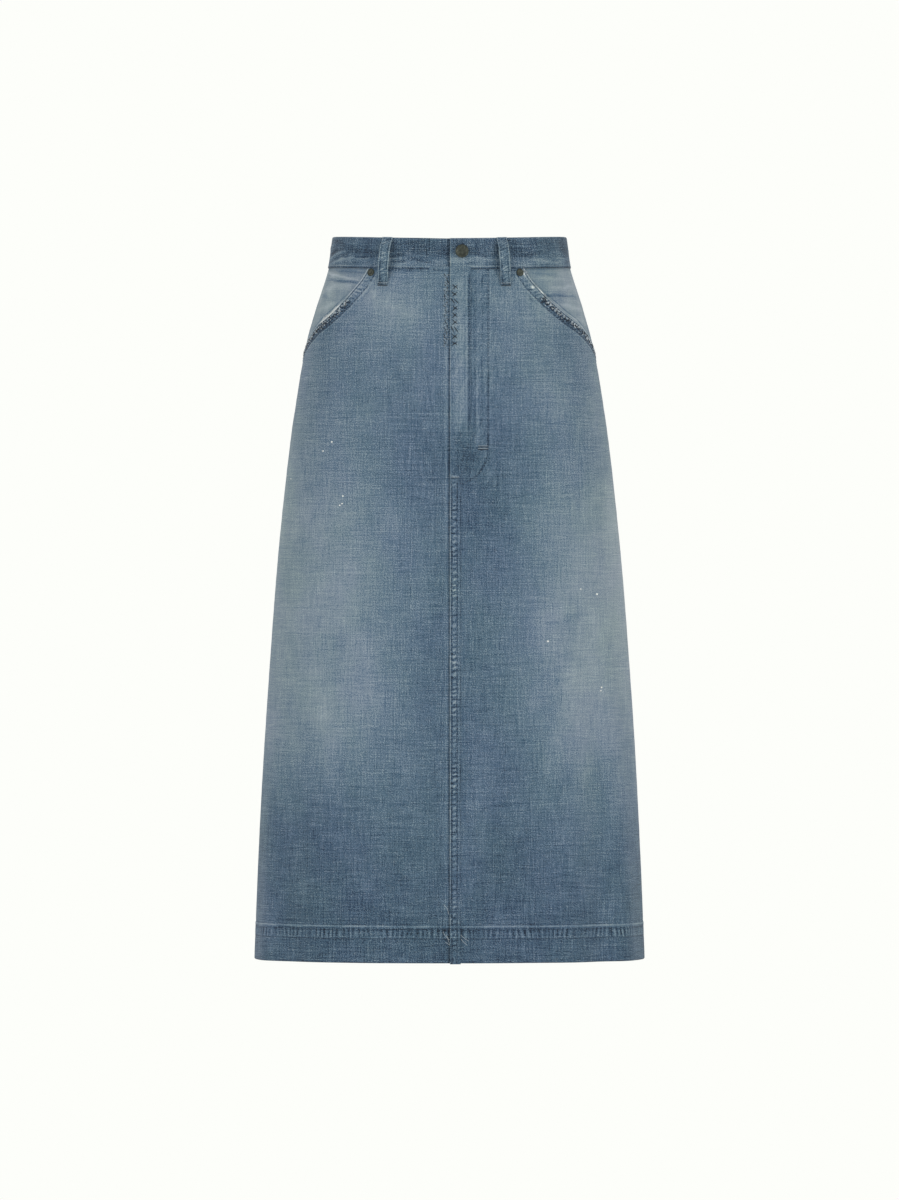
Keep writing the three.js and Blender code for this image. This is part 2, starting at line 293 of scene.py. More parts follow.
def noise_node(tree, coordinates, per_metre, detail=2.0, roughness=0.5, turned=0.0):
    """Noise with its own fineness in each direction, in cells a metre, turned by some degrees."""
    if turned:
        rotation = (0, 0, math.radians(turned))
        coordinates = add_node(tree, "Mapping", {"Rotation": rotation, "Vector": coordinates}).outputs[0]
    cells = add_node(tree, "Mapping", {"Scale": per_metre, "Vector": coordinates}).outputs[0]
    settings = {"Scale": 1.0, "Detail": detail, "Roughness": roughness, "Vector": cells}
    return add_node(tree, "TexNoise", settings).outputs[0]


def streak_node(tree, coordinates, fineness, start_fineness, shift):
    """Long thin streaks. Each thread starts at its own place, so that no two neighbours line up."""
    start = noise_node(tree, coordinates, start_fineness, 1)
    moved = add_node(tree, "VectorMath", {0: shift, "Scale": start}, "SCALE").outputs[0]
    thread = add_node(tree, "VectorMath", {0: coordinates, 1: moved}, "ADD").outputs[0]
    return noise_node(tree, thread, fineness, 2, 0.6)


def ramp_node(tree, factor, colours):
    """A colour ramp. Each colour is light, by its place from 0 to 1."""
    ramp = add_node(tree, "ValToRGB", {0: factor})
    while len(ramp.color_ramp.elements) < len(colours):
        ramp.color_ramp.elements.new(0.5)
    for element, (place_on_ramp, colour) in zip(ramp.color_ramp.elements, sorted(colours.items())):
        element.position = place_on_ramp
        element.color = colour
    return ramp.outputs[0]


def screen_ramp(tree, factor, colours):
    return ramp_node(tree, factor, {where: linear(colour) for where, colour in colours.items()})


def bump_node(tree, shader, height, strength, distance):
    bump = add_node(tree, "Bump", {"Strength": strength, "Distance": distance, "Height": height})
    tree.links.new(bump.outputs[0], shader.inputs["Normal"])


# %% The denim material and its worn and inner sides
TINT = 0.032
WEAVE_SHARES = {"warp": 1, "weft": 1, "twill": 0.55, "threads": 2.3}


def tint_node(tree, colour, coordinates):
    """Lets the colour drift between a violet and a teal wash, without changing how light it is."""
    broad = noise_node(tree, coordinates, (12, 8, 1), 3, 0.6)
    cool = (0.5 + 0.15 * TINT, 0.5 - 0.2 * TINT, 0.5 + 0.5 * TINT, 1)
    warm = (0.5 - 0.15 * TINT, 0.5 + 0.2 * TINT, 0.5 - 0.4 * TINT, 1)
    tint = ramp_node(tree, broad, {0.36: cool, 0.64: warm})
    tinted = add_node(tree, "VectorMath", {0: colour, 1: tint}, "MULTIPLY").outputs[0]
    return add_node(tree, "VectorMath", {0: tinted, "Scale": 2}, "SCALE").outputs[0]


def denim_material(name, slub=0.5, blots=0.10, contrast=1.0, lift=0.0):
    """Washed denim. Slub is how strongly single threads show, and blots how uneven the wash is."""
    settings = {"Roughness": 0.88, "Specular IOR Level": 0.25, "Sheen Weight": 0.12, "Sheen Roughness": 0.5}
    material, tree, shader = new_material(name, settings)
    weave_map = add_node(tree, "UVMap")
    weave_map.uv_map = "weave"
    uv = weave_map.outputs[0]
    tone = add_node(tree, "Attribute")
    tone.attribute_name = "tone"
    warp = streak_node(tree, uv, (700, 46, 1), (240, 1.5, 1), (0, 0.5, 0))
    weft = streak_node(tree, uv, (36, 740, 1), (1.5, 250, 1), (0.6, 0, 0))
    threads = noise_node(tree, uv, (900, 900, 1), 2, 0.7)
    twill = noise_node(tree, uv, (240, 900, 1), 2, 0.6, turned=47)
    wash = noise_node(tree, uv, (30, 19, 1), 3, 0.55)
    both_ways = math_node(tree, "ADD", warp, weft)
    streaks = math_node(tree, "MULTIPLY_ADD", twill, WEAVE_SHARES["twill"], both_ways)
    fine = math_node(tree, "MULTIPLY_ADD", threads, WEAVE_SHARES["threads"], streaks)
    weave = math_node(tree, "SUBTRACT", fine, sum(WEAVE_SHARES.values()) / 2)
    level = math_node(tree, "MULTIPLY_ADD", tone.outputs["Fac"], contrast, lift)
    in_blue = math_node(tree, "MAXIMUM", math_node(tree, "MULTIPLY_ADD", level, -2.06, 1.74), 0.3)
    weave = math_node(tree, "MULTIPLY", math_node(tree, "MULTIPLY", weave, slub), in_blue)
    soft = math_node(tree, "MULTIPLY", math_node(tree, "SUBTRACT", wash, 0.5), blots)
    level = math_node(tree, "ADD", math_node(tree, "ADD", level, weave), soft)
    colour = tint_node(tree, screen_ramp(tree, level, DENIM_COLOURS), uv)
    tree.links.new(colour, shader.inputs["Base Color"])
    bump_node(tree, shader, fine, 0.45, 0.0004)
    return material


denim = denim_material("washed_denim")
faded_denim = denim_material("rubbed_denim", slub=0.34, blots=0.2)
band_denim = denim_material("dark_band_denim", slub=0.55, blots=0.26)
inner_denim = denim_material("wrong_side_denim", slub=0.2, contrast=0.3, lift=0.44)
print("Denim finishes:", [m.name for m in (denim, faded_denim, band_denim, inner_denim)])

# %% [markdown]
# ## Laying a piece of cloth
# Each piece starts as a flat grid, like a cut pattern piece, and every point of it is laid on the
# form. The grid's own columns and rows stay in the cloth, so the weave can follow them. A Solidify
# modifier gives the thickness and turns the paler wrong side inwards. A cloth simulation was the
# other way, but a fitted skirt hangs in few folds, and those are better placed one by one.

# %% Pieces, and cloth from a grid
PALE_SIDE = 1
SLOT_OF = {"rubbed_denim": "faded_denim", "dark_band_denim": "band_denim", "old_brass": "dark_brass"}
made = {}


def mesh_from(name, bm):
    mesh = bpy.data.meshes.new(name)
    bm.to_mesh(mesh)
    bm.free()
    return mesh


def add_piece(mesh, *finishes, wall=0.0):
    """Makes a mesh a smooth piece of the skirt's one body. A wall, in millimetres, gives it thickness."""
    mesh.shade_smooth()
    for finish in finishes:
        mesh.materials.append(finish)
    piece = bpy.data.objects.new(mesh.name, mesh)
    bpy.context.scene.collection.objects.link(piece)
    if wall:
        thickness = piece.modifiers.new("thickness", "SOLIDIFY")
        thickness.thickness = wall / 1000
        thickness.offset = -1
        thickness.material_offset = PALE_SIDE
    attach(piece, "root")
    SLOT_OF.get(finishes[0].name, "denim")
    made[mesh.name] = piece


def cloth(name, grid, lay, finish, wall=1.2, inside=None, grain_from=FRONT, level=None):
    """Lays a flat grid. For each point, lay gives its turn, drop, out and tone from its place on the grid.

    The weave's threads run down from the turn grain_from, or round the body at one level if it is given.
    """
    bm = bmesh.new()
    bmesh.ops.create_grid(bm, x_segments=grid[0], y_segments=grid[1], size=0.5)
    mesh = mesh_from(name, bm)
    flat = np.empty(len(mesh.vertices) * 3)
    mesh.vertices.foreach_get("co", flat)
    turn, drop, out, tone = np.broadcast_arrays(*lay(flat[0::3] + 0.5, 0.5 - flat[1::3]))
    mesh.vertices.foreach_set("co", place(turn, drop, out).ravel())
    mesh.attributes.new("tone", "FLOAT", "POINT").data.foreach_set("value", tone.astype(np.float32))
    sideways = from_seam(turn, grain_from, drop if level is None else level)
    weave = np.stack([sideways, -drop], -1) / 1000
    corners = np.empty(len(mesh.loops), np.int32)
    mesh.loops.foreach_get("vertex_index", corners)
    mesh.uv_layers.new(name="weave").data.foreach_set("uv", weave[corners].ravel())
    mesh.update()
    add_piece(mesh, finish, inside or inner_denim, wall=wall)
    print(name, "is", grid[0], "by", grid[1], "cells")


def wobble(along, seed, pitch=10.0):
    """An uneven wave between about -1 and 1, the same on every run."""
    a = np.asarray(along) / pitch
    return (np.sin(a * 2.1 + seed) + np.sin(a * 3.7 + 2.3 * seed) + np.sin(a * 6.1 + 0.7 * seed)) / 2.4


def beats(along, pitch):
    """An even wave, such as the one that stitches make along a seam."""
    return np.sin(2 * np.pi * along / pitch)


def lines(value, table):
    """Thin lines along a piece, as a change of tone. Each has its middle, its width and its strength."""
    return sum(strength * bell(value, middle, width) for middle, width, strength in table.values())


def patches(across, drop, table):
    """Soft patches that are lighter or darker than the cloth round them."""
    rows = rows_of(table)
    return sum(lift * bell(across, x, wide) * bell(drop, y, high) for x, y, wide, high, lift in rows)


def relief(across, drop, table):
    """The height of listed creases. Slant is in degrees from level, down towards the wearer's left."""
    height = np.zeros(np.broadcast(across, drop).shape)
    for x, y, length, width, slant, rise in rows_of(table):
        sine, cosine = math.sin(math.radians(slant)), math.cos(math.radians(slant))
        along = (across - x) * cosine + (drop - y) * sine
        beside = (drop - y) * cosine - (across - x) * sine + 0.4 * width * wobble(along, x, 16)
        height = height + rise * plateau(along, 0, length) * bell(beside, 0, width)
    return height


# %% [markdown]
# ## How the skirt has faded
# Washing and wear take the blue off where the cloth is rubbed: across the thighs, at the hips below
# the pockets and on the seat. The tone at a point is a base that darkens towards the hem, plus soft
# patches. They are listed one by one, so each row of the tables is one thing that can be seen.

# %% Tone of the front and back
THIGH_FADES = {
    "side": (-1, 1, 1),
    "near": (8, 42, 178),
    "far": (130, 170, 205),
    "begins": (140, 110, 250),
    "full": (340, 360, 380),
    "fades": (540, 560, 560),
    "ends": (745, 800, 700),
    "lift": (0.14, 0.165, 0.025),
}
PATCHES = {
    "x": (-66, 96, 24, -150, 140, -60, 120, -110, -60, 88, -192, -224, 212, 122, 122, -130, -165, 62, -4, 168,
          -119, 140, 216, 181, -95, 60, -23, 49),
    "drop": (78, 72, 268, 190, 190, 130, 150, 60, 104, 104, 620, 815, 825, 490, 650, 655, 268, 285, 845, 780,
             487, 505, 580, 652, 74, 75, 430, 742),
    "wide": (60, 42, 20, 40, 34, 60, 50, 26, 44, 52, 30, 24, 50, 30, 24, 26, 34, 30, 12, 34,
             26, 26, 18, 16, 16, 18, 14, 16),
    "high": (42, 40, 40, 70, 70, 50, 60, 16, 30, 34, 60, 80, 60, 60, 60, 34, 34, 44, 40, 44,
             46, 38, 52, 30, 14, 14, 30, 32),
    "lift": (0.11, 0.07, -0.03, 0.02, 0.02, 0.01, 0.02, 0.03, 0.03, 0.035, 0.02, 0.05, 0.03, 0.02, -0.06,
             -0.035, 0.03, 0.03, -0.03, 0.03, -0.05, 0.04, -0.045, -0.045, 0.045, 0.035, -0.03, -0.035),
}
front_base = smooth_curve(
    (37, 70, 110, 145, 185, 220, 255, 290, 330, 440, 520, 600, 690, 760, 820, 865),
    (0.43, 0.40, 0.41, 0.43, 0.42, 0.41, 0.375, 0.37, 0.385, 0.405, 0.40, 0.39, 0.38, 0.36, 0.345, 0.34),
)


def front_tone(turn, drop):
    x = form(turn, drop)[..., 0]
    tone = front_base(drop) + patches(x, drop, PATCHES)
    for side, near, far, begins, full, fades, ends, lift in rows_of(THIGH_FADES):
        height = ease(drop, begins, full) - ease(drop, fades, ends)
        tone = tone + lift * ease(side * x, near, far) * height
    hip_edge = ease(np.abs(turn), 52, 74) * (ease(drop, 70, 140) - ease(drop, 300, 420))
    return tone + 0.05 * hip_edge


def back_tone(turn, drop):
    """The seat's fade, which meets the front's tone at the side seams."""
    away = np.abs(wrap(turn - BACK))
    seat = 0.12 * bell(away, 32, 22) * bell(drop, 250, 120)
    below_seat = 0.05 * bell(away, 40, 26) * bell(drop, 560, 130)
    near_side = 0.06 * ease(away, 50, 90) * (1 - ease(drop, 110, 190))
    tone = front_base(drop) + seat + below_seat
    return mix(tone, front_tone(wrap(180 - turn), drop), ease(away, 38, 90)) + near_side


TONE_OF = {FRONT: front_tone, BACK: back_tone}

# %% [markdown]
# ## Creases and ripples
# Cloth that has been worn is never quite even. A few wide, low swellings come from sines that don't
# repeat together, and each crease that can be seen has a row of its own.

# %% Creases of the panels
FRONT_CREASES = {
    "across": (-96, -88, -101, 96, 88, -60, -120, 140, -150, 120, -30, 60, 40, -45,
               108, 122, 96, -112, -74, 70),
    "drop": (58, 60, 66, 52, 60, 84, 470, 500, 600, 640, 420, 300, 700, 640,
             84, 100, 70, 96, 74, 62),
    "length": (11, 12, 12, 10, 14, 30, 60, 70, 70, 60, 60, 50, 80, 70,
               26, 24, 14, 24, 12, 16),
    "width": (1.6, 1.8, 1.6, 1.5, 2, 7, 16, 14, 15, 15, 14, 16, 16, 15,
              2.0, 2.4, 1.8, 3.0, 1.6, 1.8),
    "slant": (70, 105, 130, 100, 60, 20, 74, 105, 80, 98, 82, 95, 88, 92,
              32, 24, 60, -30, 112, 70),
    "rise": (0.9, 0.9, -0.8, 0.8, 0.8, 0.5, 0.7, -0.8, 0.7, 0.8, 0.6, -0.5, 0.6, 0.5,
             0.8, 0.6, -0.7, 0.5, 0.7, 0.5),
}
BACK_CREASES = {
    "across": (420, 520, 470, -420, -520, 450, -450, 400, -390, 540, -530),
    "drop": (300, 330, 480, 320, 300, 600, 560, 420, 460, 640, 660),
    "length": (60, 50, 80, 60, 50, 80, 80, 70, 70, 80, 80),
    "width": (14, 12, 16, 14, 12, 15, 15, 14, 14, 16, 16),
    "slant": (60, 110, 84, 120, 70, 95, 86, 78, 100, 92, 88),
    "rise": (0.8, 0.7, -0.8, 0.8, 0.7, 0.8, -0.7, 0.6, 0.6, -0.5, 0.6),
}
CREASES_OF = {FRONT: FRONT_CREASES, BACK: BACK_CREASES}


def ripple(across, drop):
    slow = np.sin(across / 21 + drop / 95) + np.sin(across / 34 - drop / 61 + 2)
    return 0.16 * slow + 0.07 * np.sin(across / 9 + drop / 40) * ease(drop, 60, 200)


# %% [markdown]
# ## The panels
# A skirt like this has four panels: two at the front with a pocket opening cut out of each, and two
# at the back. The wearer's left panel laps over the right one at the centre seams, so its edge is a
# step of one thickness. Columns stand close together near the lap and wider apart round the hip.

# %% The lapped edge and the pocket opening
LAP_EDGE = 0.6
LAP_RISE = 1.7
LAP_UNDER = 4
LAP_SLOPE = 3
SEAM_WIDTH = 12
STITCH_PITCH = 3.4
FLY_WIDTH = 24
FLY_END = 290
FLY_TAPER = 25
PANEL_TOP = 34
BAND_SHADOW = 38.4
PANEL_END = 829
HEM_LINE = 822
SIDE_SEAM = 90
SIDE_DEGREE = 2.9
POCKET_TURNS = (38, 40.5, 44, 49, 57, 66, 76, 90)
POCKET_DROPS = (37, 50, 62, 76.5, 93, 105, 119, 138)
POCKET_UNEVEN = 2
pocket_drop = smooth_curve(POCKET_TURNS, POCKET_DROPS)


def lap_out(from_edge, drop, beside_fly):
    """How far the lapped edge stands out, by the distance from the centre seam."""
    wide = 1 - ease(drop, FLY_END - FLY_TAPER, FLY_END) if beside_fly else 0
    width = mix(SEAM_WIDTH, FLY_WIDTH, wide)
    return LAP_RISE * (1 - ease(from_edge, width, width + LAP_SLOPE))


def pocket_start(sense):
    return POCKET_TURNS[0] - sense * POCKET_UNEVEN


def pocket_edge(turn):
    """The drop of the pocket opening's edge, on either side of the body."""
    start = pocket_start(np.sign(turn))
    return pocket_drop(mix(POCKET_TURNS[0], SIDE_SEAM, (np.abs(turn) - start) / (SIDE_SEAM - start)))


def front_top(turn):
    """Where a front panel begins: under the waistband, or at the pocket opening's edge."""
    start = pocket_start(np.sign(turn))
    under_band = mix(PANEL_TOP, WAISTBAND_HEIGHT, ease(np.abs(turn), start - 1.5, start))
    return np.where(np.abs(turn) < start, under_band, pocket_edge(turn))


def side_groove(turn, drop):
    """The side seam's shallow groove, with a slight pucker. One degree there is about 3 mm of cloth."""
    away = np.abs(np.abs(wrap(turn)) - SIDE_SEAM) * SIDE_DEGREE
    return -0.45 * bell(away, 0, 2.6) + 0.2 * wobble(drop, 3, 16) * bell(away, 0, 7)


# %% Panels
NEAR_REACH = 52
NEAR_SHARE = 0.24
PANEL_GRIDS = {FRONT: (120, 144), BACK: (90, 116)}
# Which way a panel runs from its centre seam, that seam's turn, and whether it laps over
PANELS = {
    "front_left": (1, FRONT, True),
    "front_right": (-1, FRONT, False),
    "back_left": (-1, BACK, True),
    "back_right": (1, BACK, False),
}


def panel_stations(u, drop, sense, centre, raised):
    """Turns of a panel's columns, close together beside the centre seam."""
    edge = LAP_EDGE if raised else -LAP_UNDER
    count = u if sense > 0 else 1 - u
    near = np.clip(count / NEAR_SHARE, 0, 1)
    far = np.clip((count - NEAR_SHARE) / (1 - NEAR_SHARE), 0, 1)
    near_turn = beside_seam(centre, sense * mix(edge, NEAR_REACH, near**1.5), drop)
    return mix(near_turn, centre + sense * SIDE_SEAM, far)


def under_lap(from_edge, drop):
    """The gap and the pressed ridge beside the lap's edge, on the panel that lies under: painted shadow in
    the gap, painted highlight on the ridge.
    """
    gap = bell(from_edge, 0.2, 1.3)
    ridge = bell(from_edge, 4, 1.8) * (0.8 + 0.3 * wobble(drop, 4, 30))
    dots = 0.8 + 0.3 * np.sin(drop / 0.9 + 2 * wobble(drop, 6, 20)) + 0.15 * wobble(drop, 3, 50)
    shadow = mix(0.13, 0.07, ease(drop, 270, 320)) * gap * dots
    shine = mix(0.085, 0.05, ease(drop, 300, 400)) * ridge
    return 0.45 * ridge - 0.3 * gap, shine - shadow


def lay_panel(sense, centre, raised):
    """A rule that lays one panel, counted from its centre edge to its side seam."""

    def lay(u, v):
        highest = panel_stations(u, WAISTBAND_HEIGHT, sense, centre, raised)
        top = front_top(highest) if centre == FRONT else PANEL_TOP
        drop = mix(top, PANEL_END, v**1.4)
        turn = panel_stations(u, drop, sense, centre, raised)
        across = across_at(turn, drop)
        from_edge = sense * from_seam(turn, centre, drop)
        bends = relief(across, drop, CREASES_OF[centre])
        out = ripple(across, drop) * ease(drop, 40, 90) + side_groove(turn, drop) + bends
        band_shadow = 0.16 * (0.8 + 0.35 * beats(across, STITCH_PITCH)) * bell(drop, BAND_SHADOW, 1.5)
        tone = TONE_OF[centre](turn, drop) + 0.03 * out + 0.03 * bends - band_shadow
        if raised:
            out = out * ease(from_edge, 2, 26) + lap_out(from_edge, drop, centre == FRONT)
        else:
            # The panel under the lap gets a painted shadow in the gap and a painted highlight on the ridge.
            pressed, shadow_and_shine = under_lap(from_edge, drop)
            out = out + pressed
            tone = tone + shadow_and_shine
        out = out - 0.5 * ease(drop, HEM_LINE - 4, HEM_LINE + 2) - 0.15 * (1 - ease(drop, 36, 40))
        return turn, drop, out, tone

    return lay


for name, panel in PANELS.items():
    centre = panel[1]
    cloth(name + "_cloth", PANEL_GRIDS[centre], lay_panel(*panel), denim, grain_from=centre)

# %% [markdown]
# ## The turned-up hem
# The hem is the panel's own end, turned up inside and stitched. Where the two layers were fed unevenly
# under the needle the cloth ropes: small slanting puckers that wash pale on top and stay dark between.
# The strip goes down the outside, round the bottom edge and up the inside.

# %% Hems
HEM_GRIDS = {FRONT: (230, 44), BACK: (176, 40)}
HEM_PATH = {
    "share": (0, 0.03, 0.06, 0.10, 0.15, 0.42, 0.66, 0.69, 0.71, 0.73, 0.76, 1),
    "drop": (819.2, 820.4, 821.6, 823, 825, 838, 863.4, 864.7, 865.0, 864.7, 863.4, 821),
    "out": (-0.25, 0.25, 0.55, 0.35, 0.15, 0.15, 0.2, -0.2, -1.1, -2.0, -2.4, -2.4),
}
ROPE_PITCH = 6.0
ROPE_TOP = 823.5
ROPE_BOTTOM = 836
HEM_TICKS = {
    "shadow above the edge": (819.6, 0.7, -0.09),
    "pale above the stitches": (ROPE_BOTTOM - 1.6, 0.8, 0.09),
}
# Dark lines along the hem: one below the edge, one in the groove of the stitches, and painted shade where the
# bottom edge rolls under.
HEM_DARK_LINES = {
    "below the edge": (825.5, 1.3, -0.09),
    "groove of the stitches": (ROPE_BOTTOM, 0.9, -0.06),
    "painted shade of the bottom fold": (864.8, 1.2, -0.07),
}


def roping(across, drop, top, bottom, pitch):
    """Puckers between two rows of stitches: 1 on a ridge and -1 in a trough."""
    slant = 0.22 * wobble(across, 2, 60)
    phase = (across + slant * (drop - top)) / pitch + 0.3 * wobble(across, 5, 3 * pitch)
    strength = 0.75 + 0.4 * wobble(across, 9, 40)
    between = plateau(drop, (top + bottom) / 2, 0.42 * (bottom - top))
    return beats(phase, 1) * between * strength


def lay_hem(sense, centre, raised):
    def lay(u, v):
        drop = np.interp(v, HEM_PATH["share"], HEM_PATH["drop"])
        out = np.interp(v, HEM_PATH["share"], HEM_PATH["out"])
        turn = panel_stations(u, drop, sense, centre, raised)
        across = across_at(turn, drop)
        from_edge = sense * from_seam(turn, centre, drop)
        outside = 1 - ease(v, 0.68, 0.74)
        rope = roping(across, drop, ROPE_TOP, ROPE_BOTTOM, ROPE_PITCH) * outside
        # A pale line along the ridge of the turned-up edge is a painted highlight.
        edge_highlight = 0.21 * bell(drop, HEM_LINE - 0.6, 1.1) * (0.85 + 0.25 * wobble(across, 3, 24))
        knot = 0.10 * bell(from_edge, 7, 11) * bell(drop, 823, 5)
        ticked = (0.75 + 0.4 * beats(across, 3.6)) * lines(drop, HEM_TICKS)
        marks = edge_highlight - knot + ticked + lines(drop, HEM_DARK_LINES)
        out = out + 0.35 * rope - 0.2 * bell(drop, ROPE_BOTTOM, 0.9) * outside + side_groove(turn, drop)
        if raised:
            out = out + lap_out(from_edge, drop, False) * mix(0.2, 1, outside)
        else:
            marks = marks - 0.12 * bell(from_edge, 0.2, 1.5)
        return turn, drop, out, TONE_OF[centre](turn, drop) + 0.15 * rope + outside * marks

    return lay


for name, panel in PANELS.items():
    centre = panel[1]
    cloth("hem_" + name, HEM_GRIDS[centre], lay_hem(*panel), denim, wall=0.8, grain_from=centre)

# %% [markdown]
# ## The waistband
# The band is one long strip folded over at the top, so its profile goes up the inside, over the fold
# and down the outside. Its upper end shows at the centre front as a pale worn edge, and the under end
# runs on behind it. The band is the darkest cloth, because the wash reached its doubled layers less.

# %% Waistband
BAND_PATH = {
    "share": (0, 0.27, 0.30, 0.33, 0.36, 0.39, 0.42, 0.70, 0.96, 0.985, 1),
    "drop": (37, 1.6, 0.5, 0.0, 0.0, 0.5, 1.6, 18.5, 36, 37, 37.2),
    "out": (-2.2, -2.2, -1.9, -1.2, 0.0, 0.7, 1.0, 1.2, 1.0, 0.7, 0.1),
}
BAND_ROW = 35.0
UNDERLAP_END = 16
UNDERLAP_EASE = 14
UNDERLAP_SUNK = 3.9
INSIDE_TONE = 0.45
BAND_CREASES = {
    "across": (-150, -155, -146, -148, -126, -108, -112, -99, -108, -60, -62, -66, -90, -38, -28, -52,
               -76, -112, -170, 60, 92, 110, 130, 40, 30, 78, 150, 165, 22, 34, 100, 118, 140),
    "drop": (22, 18.6, 25.4, 29.6, 25.6, 24.3, 26.4, 26, 17, 25, 28.6, 21.8, 31, 21.5, 28.5, 30,
             16, 8, 12, 27, 22, 28, 31, 25, 29, 10, 26, 14, 9, 20, 16, 7, 20),
    "length": (21, 18, 16, 14, 14, 9, 5, 4, 20, 11, 10, 12, 14, 12, 14, 10,
               14, 20, 18, 14, 16, 16, 18, 10, 9, 16, 14, 12, 12, 10, 14, 12, 14),
    "width": (1.5, 1.4, 1.3, 1.4, 1.3, 0.9, 0.9, 0.9, 2.2, 1.1, 1.1, 1.4, 1.2, 1.1, 1.1, 1.0,
              1.7, 2.2, 2.4, 1.1, 1.5, 1.1, 1.3, 1.0, 1.1, 1.6, 1.2, 1.6, 1.3, 1.2, 1.5, 1.2, 1.4),
    "slant": (-15, -15, -13, -14, -3, -1, -4, 10, 3, -5, 4, -8, -3, 6, 8, -10,
              -8, 4, -6, 6, -5, 4, -2, 10, -6, 4, 3, 12, -8, 12, -6, 5, 8),
    "rise": (1.3, -1.1, -0.6, 1.2, 1.3, -1.5, 0.9, 1.1, -0.9, 1.3, -1.2, -0.8, 0.7, 1.1, -1.0, 0.8,
             -0.7, 0.6, 0.5, 1.0, -0.6, 1.1, 1.0, 0.9, -0.9, 0.6, 1.0, 0.6, 0.6, -0.7, 0.6, -0.5, 0.6),
}
BAND_PATCHES = {
    "across": (12, 34, -14, -66, 40, 28, -40, -176, 44, 8, 86, 110, -100, 66, 150, 108, -86, -50, 100, 130,
               97, 25, -48),
    "drop": (25, 28, 14, 8, 14, 8, 12, 24, 26, 6, 14, 24, 12, 8, 10, 29, 12, 25, 25, 12, 21, 35, 24),
    "wide": (13, 11, 20, 5, 16, 10, 16, 10, 4, 6, 20, 20, 26, 5, 20, 24, 10, 16, 14, 14, 12, 8, 26),
    "high": (5, 5, 9, 10, 8, 5, 7, 10, 6, 5, 8, 4, 6, 12, 7, 4, 5, 5, 6, 7, 6, 4, 5),
    "lift": (0.10, 0.07, -0.05, -0.06, -0.03, 0.02, -0.04, 0.05, -0.06, -0.03, -0.02, 0.02, 0.03,
             -0.06, -0.02, 0.04, 0.04, -0.065, -0.04, 0.02, -0.085, 0.04, -0.04),
}
# The tone is darkest from 36 mm down: painted shade where the band's lower edge turns under at its seam.
band_tone = smooth_curve(
    (0, 1.0, 2.6, 9, 19, 23, 28, 32, 33.8, 34.8, 36.0, 37.5),
    (0.43, 0.40, 0.35, 0.325, 0.33, 0.375, 0.42, 0.40, 0.45, 0.54, 0.30, 0.20),
)


def lay_band(u, v):
    drop = np.interp(v, BAND_PATH["share"], BAND_PATH["drop"])
    out = np.interp(v, BAND_PATH["share"], BAND_PATH["out"])
    turn = mix(turn_at(LAP_EDGE, drop), 360 + UNDERLAP_END, u)
    across = across_at(turn, drop)
    signed = np.where(turn > BACK, from_seam(turn, 360, drop), across)
    outside = ease(v, 0.33, 0.42)
    bends = relief(signed, drop, BAND_CREASES) + 0.18 * wobble(signed, 2, 22) * np.sin(drop / 6)
    ticks = beats(across, STITCH_PITCH) * bell(drop, 36.2, 1.2)
    out = out + outside * (bends - 0.25 * bell(drop, BAND_ROW, 0.8) + 0.12 * ticks)
    out = out - UNDERLAP_SUNK * ease(turn, 360 - UNDERLAP_EASE, 360)
    tone = band_tone(drop) + patches(signed, drop, BAND_PATCHES) + 0.11 * bends + 0.05 * ticks
    worn_end = 0.24 * bell(across, LAP_EDGE, 1.1)
    # A dark line on the under end, right beside the upper end's edge, is a painted shadow of that edge.
    shadow_on_under_end = 0.14 * bell(signed, -1.2, 1.6)
    tone = tone + worn_end - shadow_on_under_end + 0.02 * wobble(signed, 7, 30)
    return turn, drop, out, mix(INSIDE_TONE, tone, outside)


cloth("waistband_cloth", (520, 64), lay_band, band_denim, wall=0.8, level=18)

# %% [markdown]
# ## Cloth inside the pockets
# The openings show a plain facing, one layer behind the front. It is paler than the rest, because
# hands rub it, and it has a few level creases from sitting.

# %% Pocket facings
FACING_TOP = 34.5
FACING_TONE = 0.53
FACING_UNDER = 24
FACING_INSET = 7
FACING_CREASES = {
    "across": (-150, -140, -150, -165, -128, -168, 140, 160, 175, 150, 185, 130, 118),
    "drop": (46, 52.5, 60, 84, 41, 72, 70, 84, 100, 60, 112, 50, 44),
    "length": (44, 30, 30, 22, 26, 20, 44, 30, 22, 26, 18, 24, 20),
    "width": (1.5, 1.3, 3.2, 3.4, 1.2, 2.5, 1.6, 3, 3.2, 2.4, 3, 2, 1.4),
    "slant": (8, 4, -6, -12, 2, 8, 2, 6, 10, -4, 16, 2, 4),
    "rise": (1.2, -1.2, 0.7, 0.6, -1.0, -0.5, -1.0, 0.7, 0.6, 0.7, 0.5, 0.4, -0.5),
}
# Lines along the pocket band's edge on the facing; the dark one is a painted shadow beside the band.
FACING_EDGE = {
    "pale line": (4.2, 1.0, 0.13),
    "painted shadow line": (6.6, 1.1, -0.14),
}


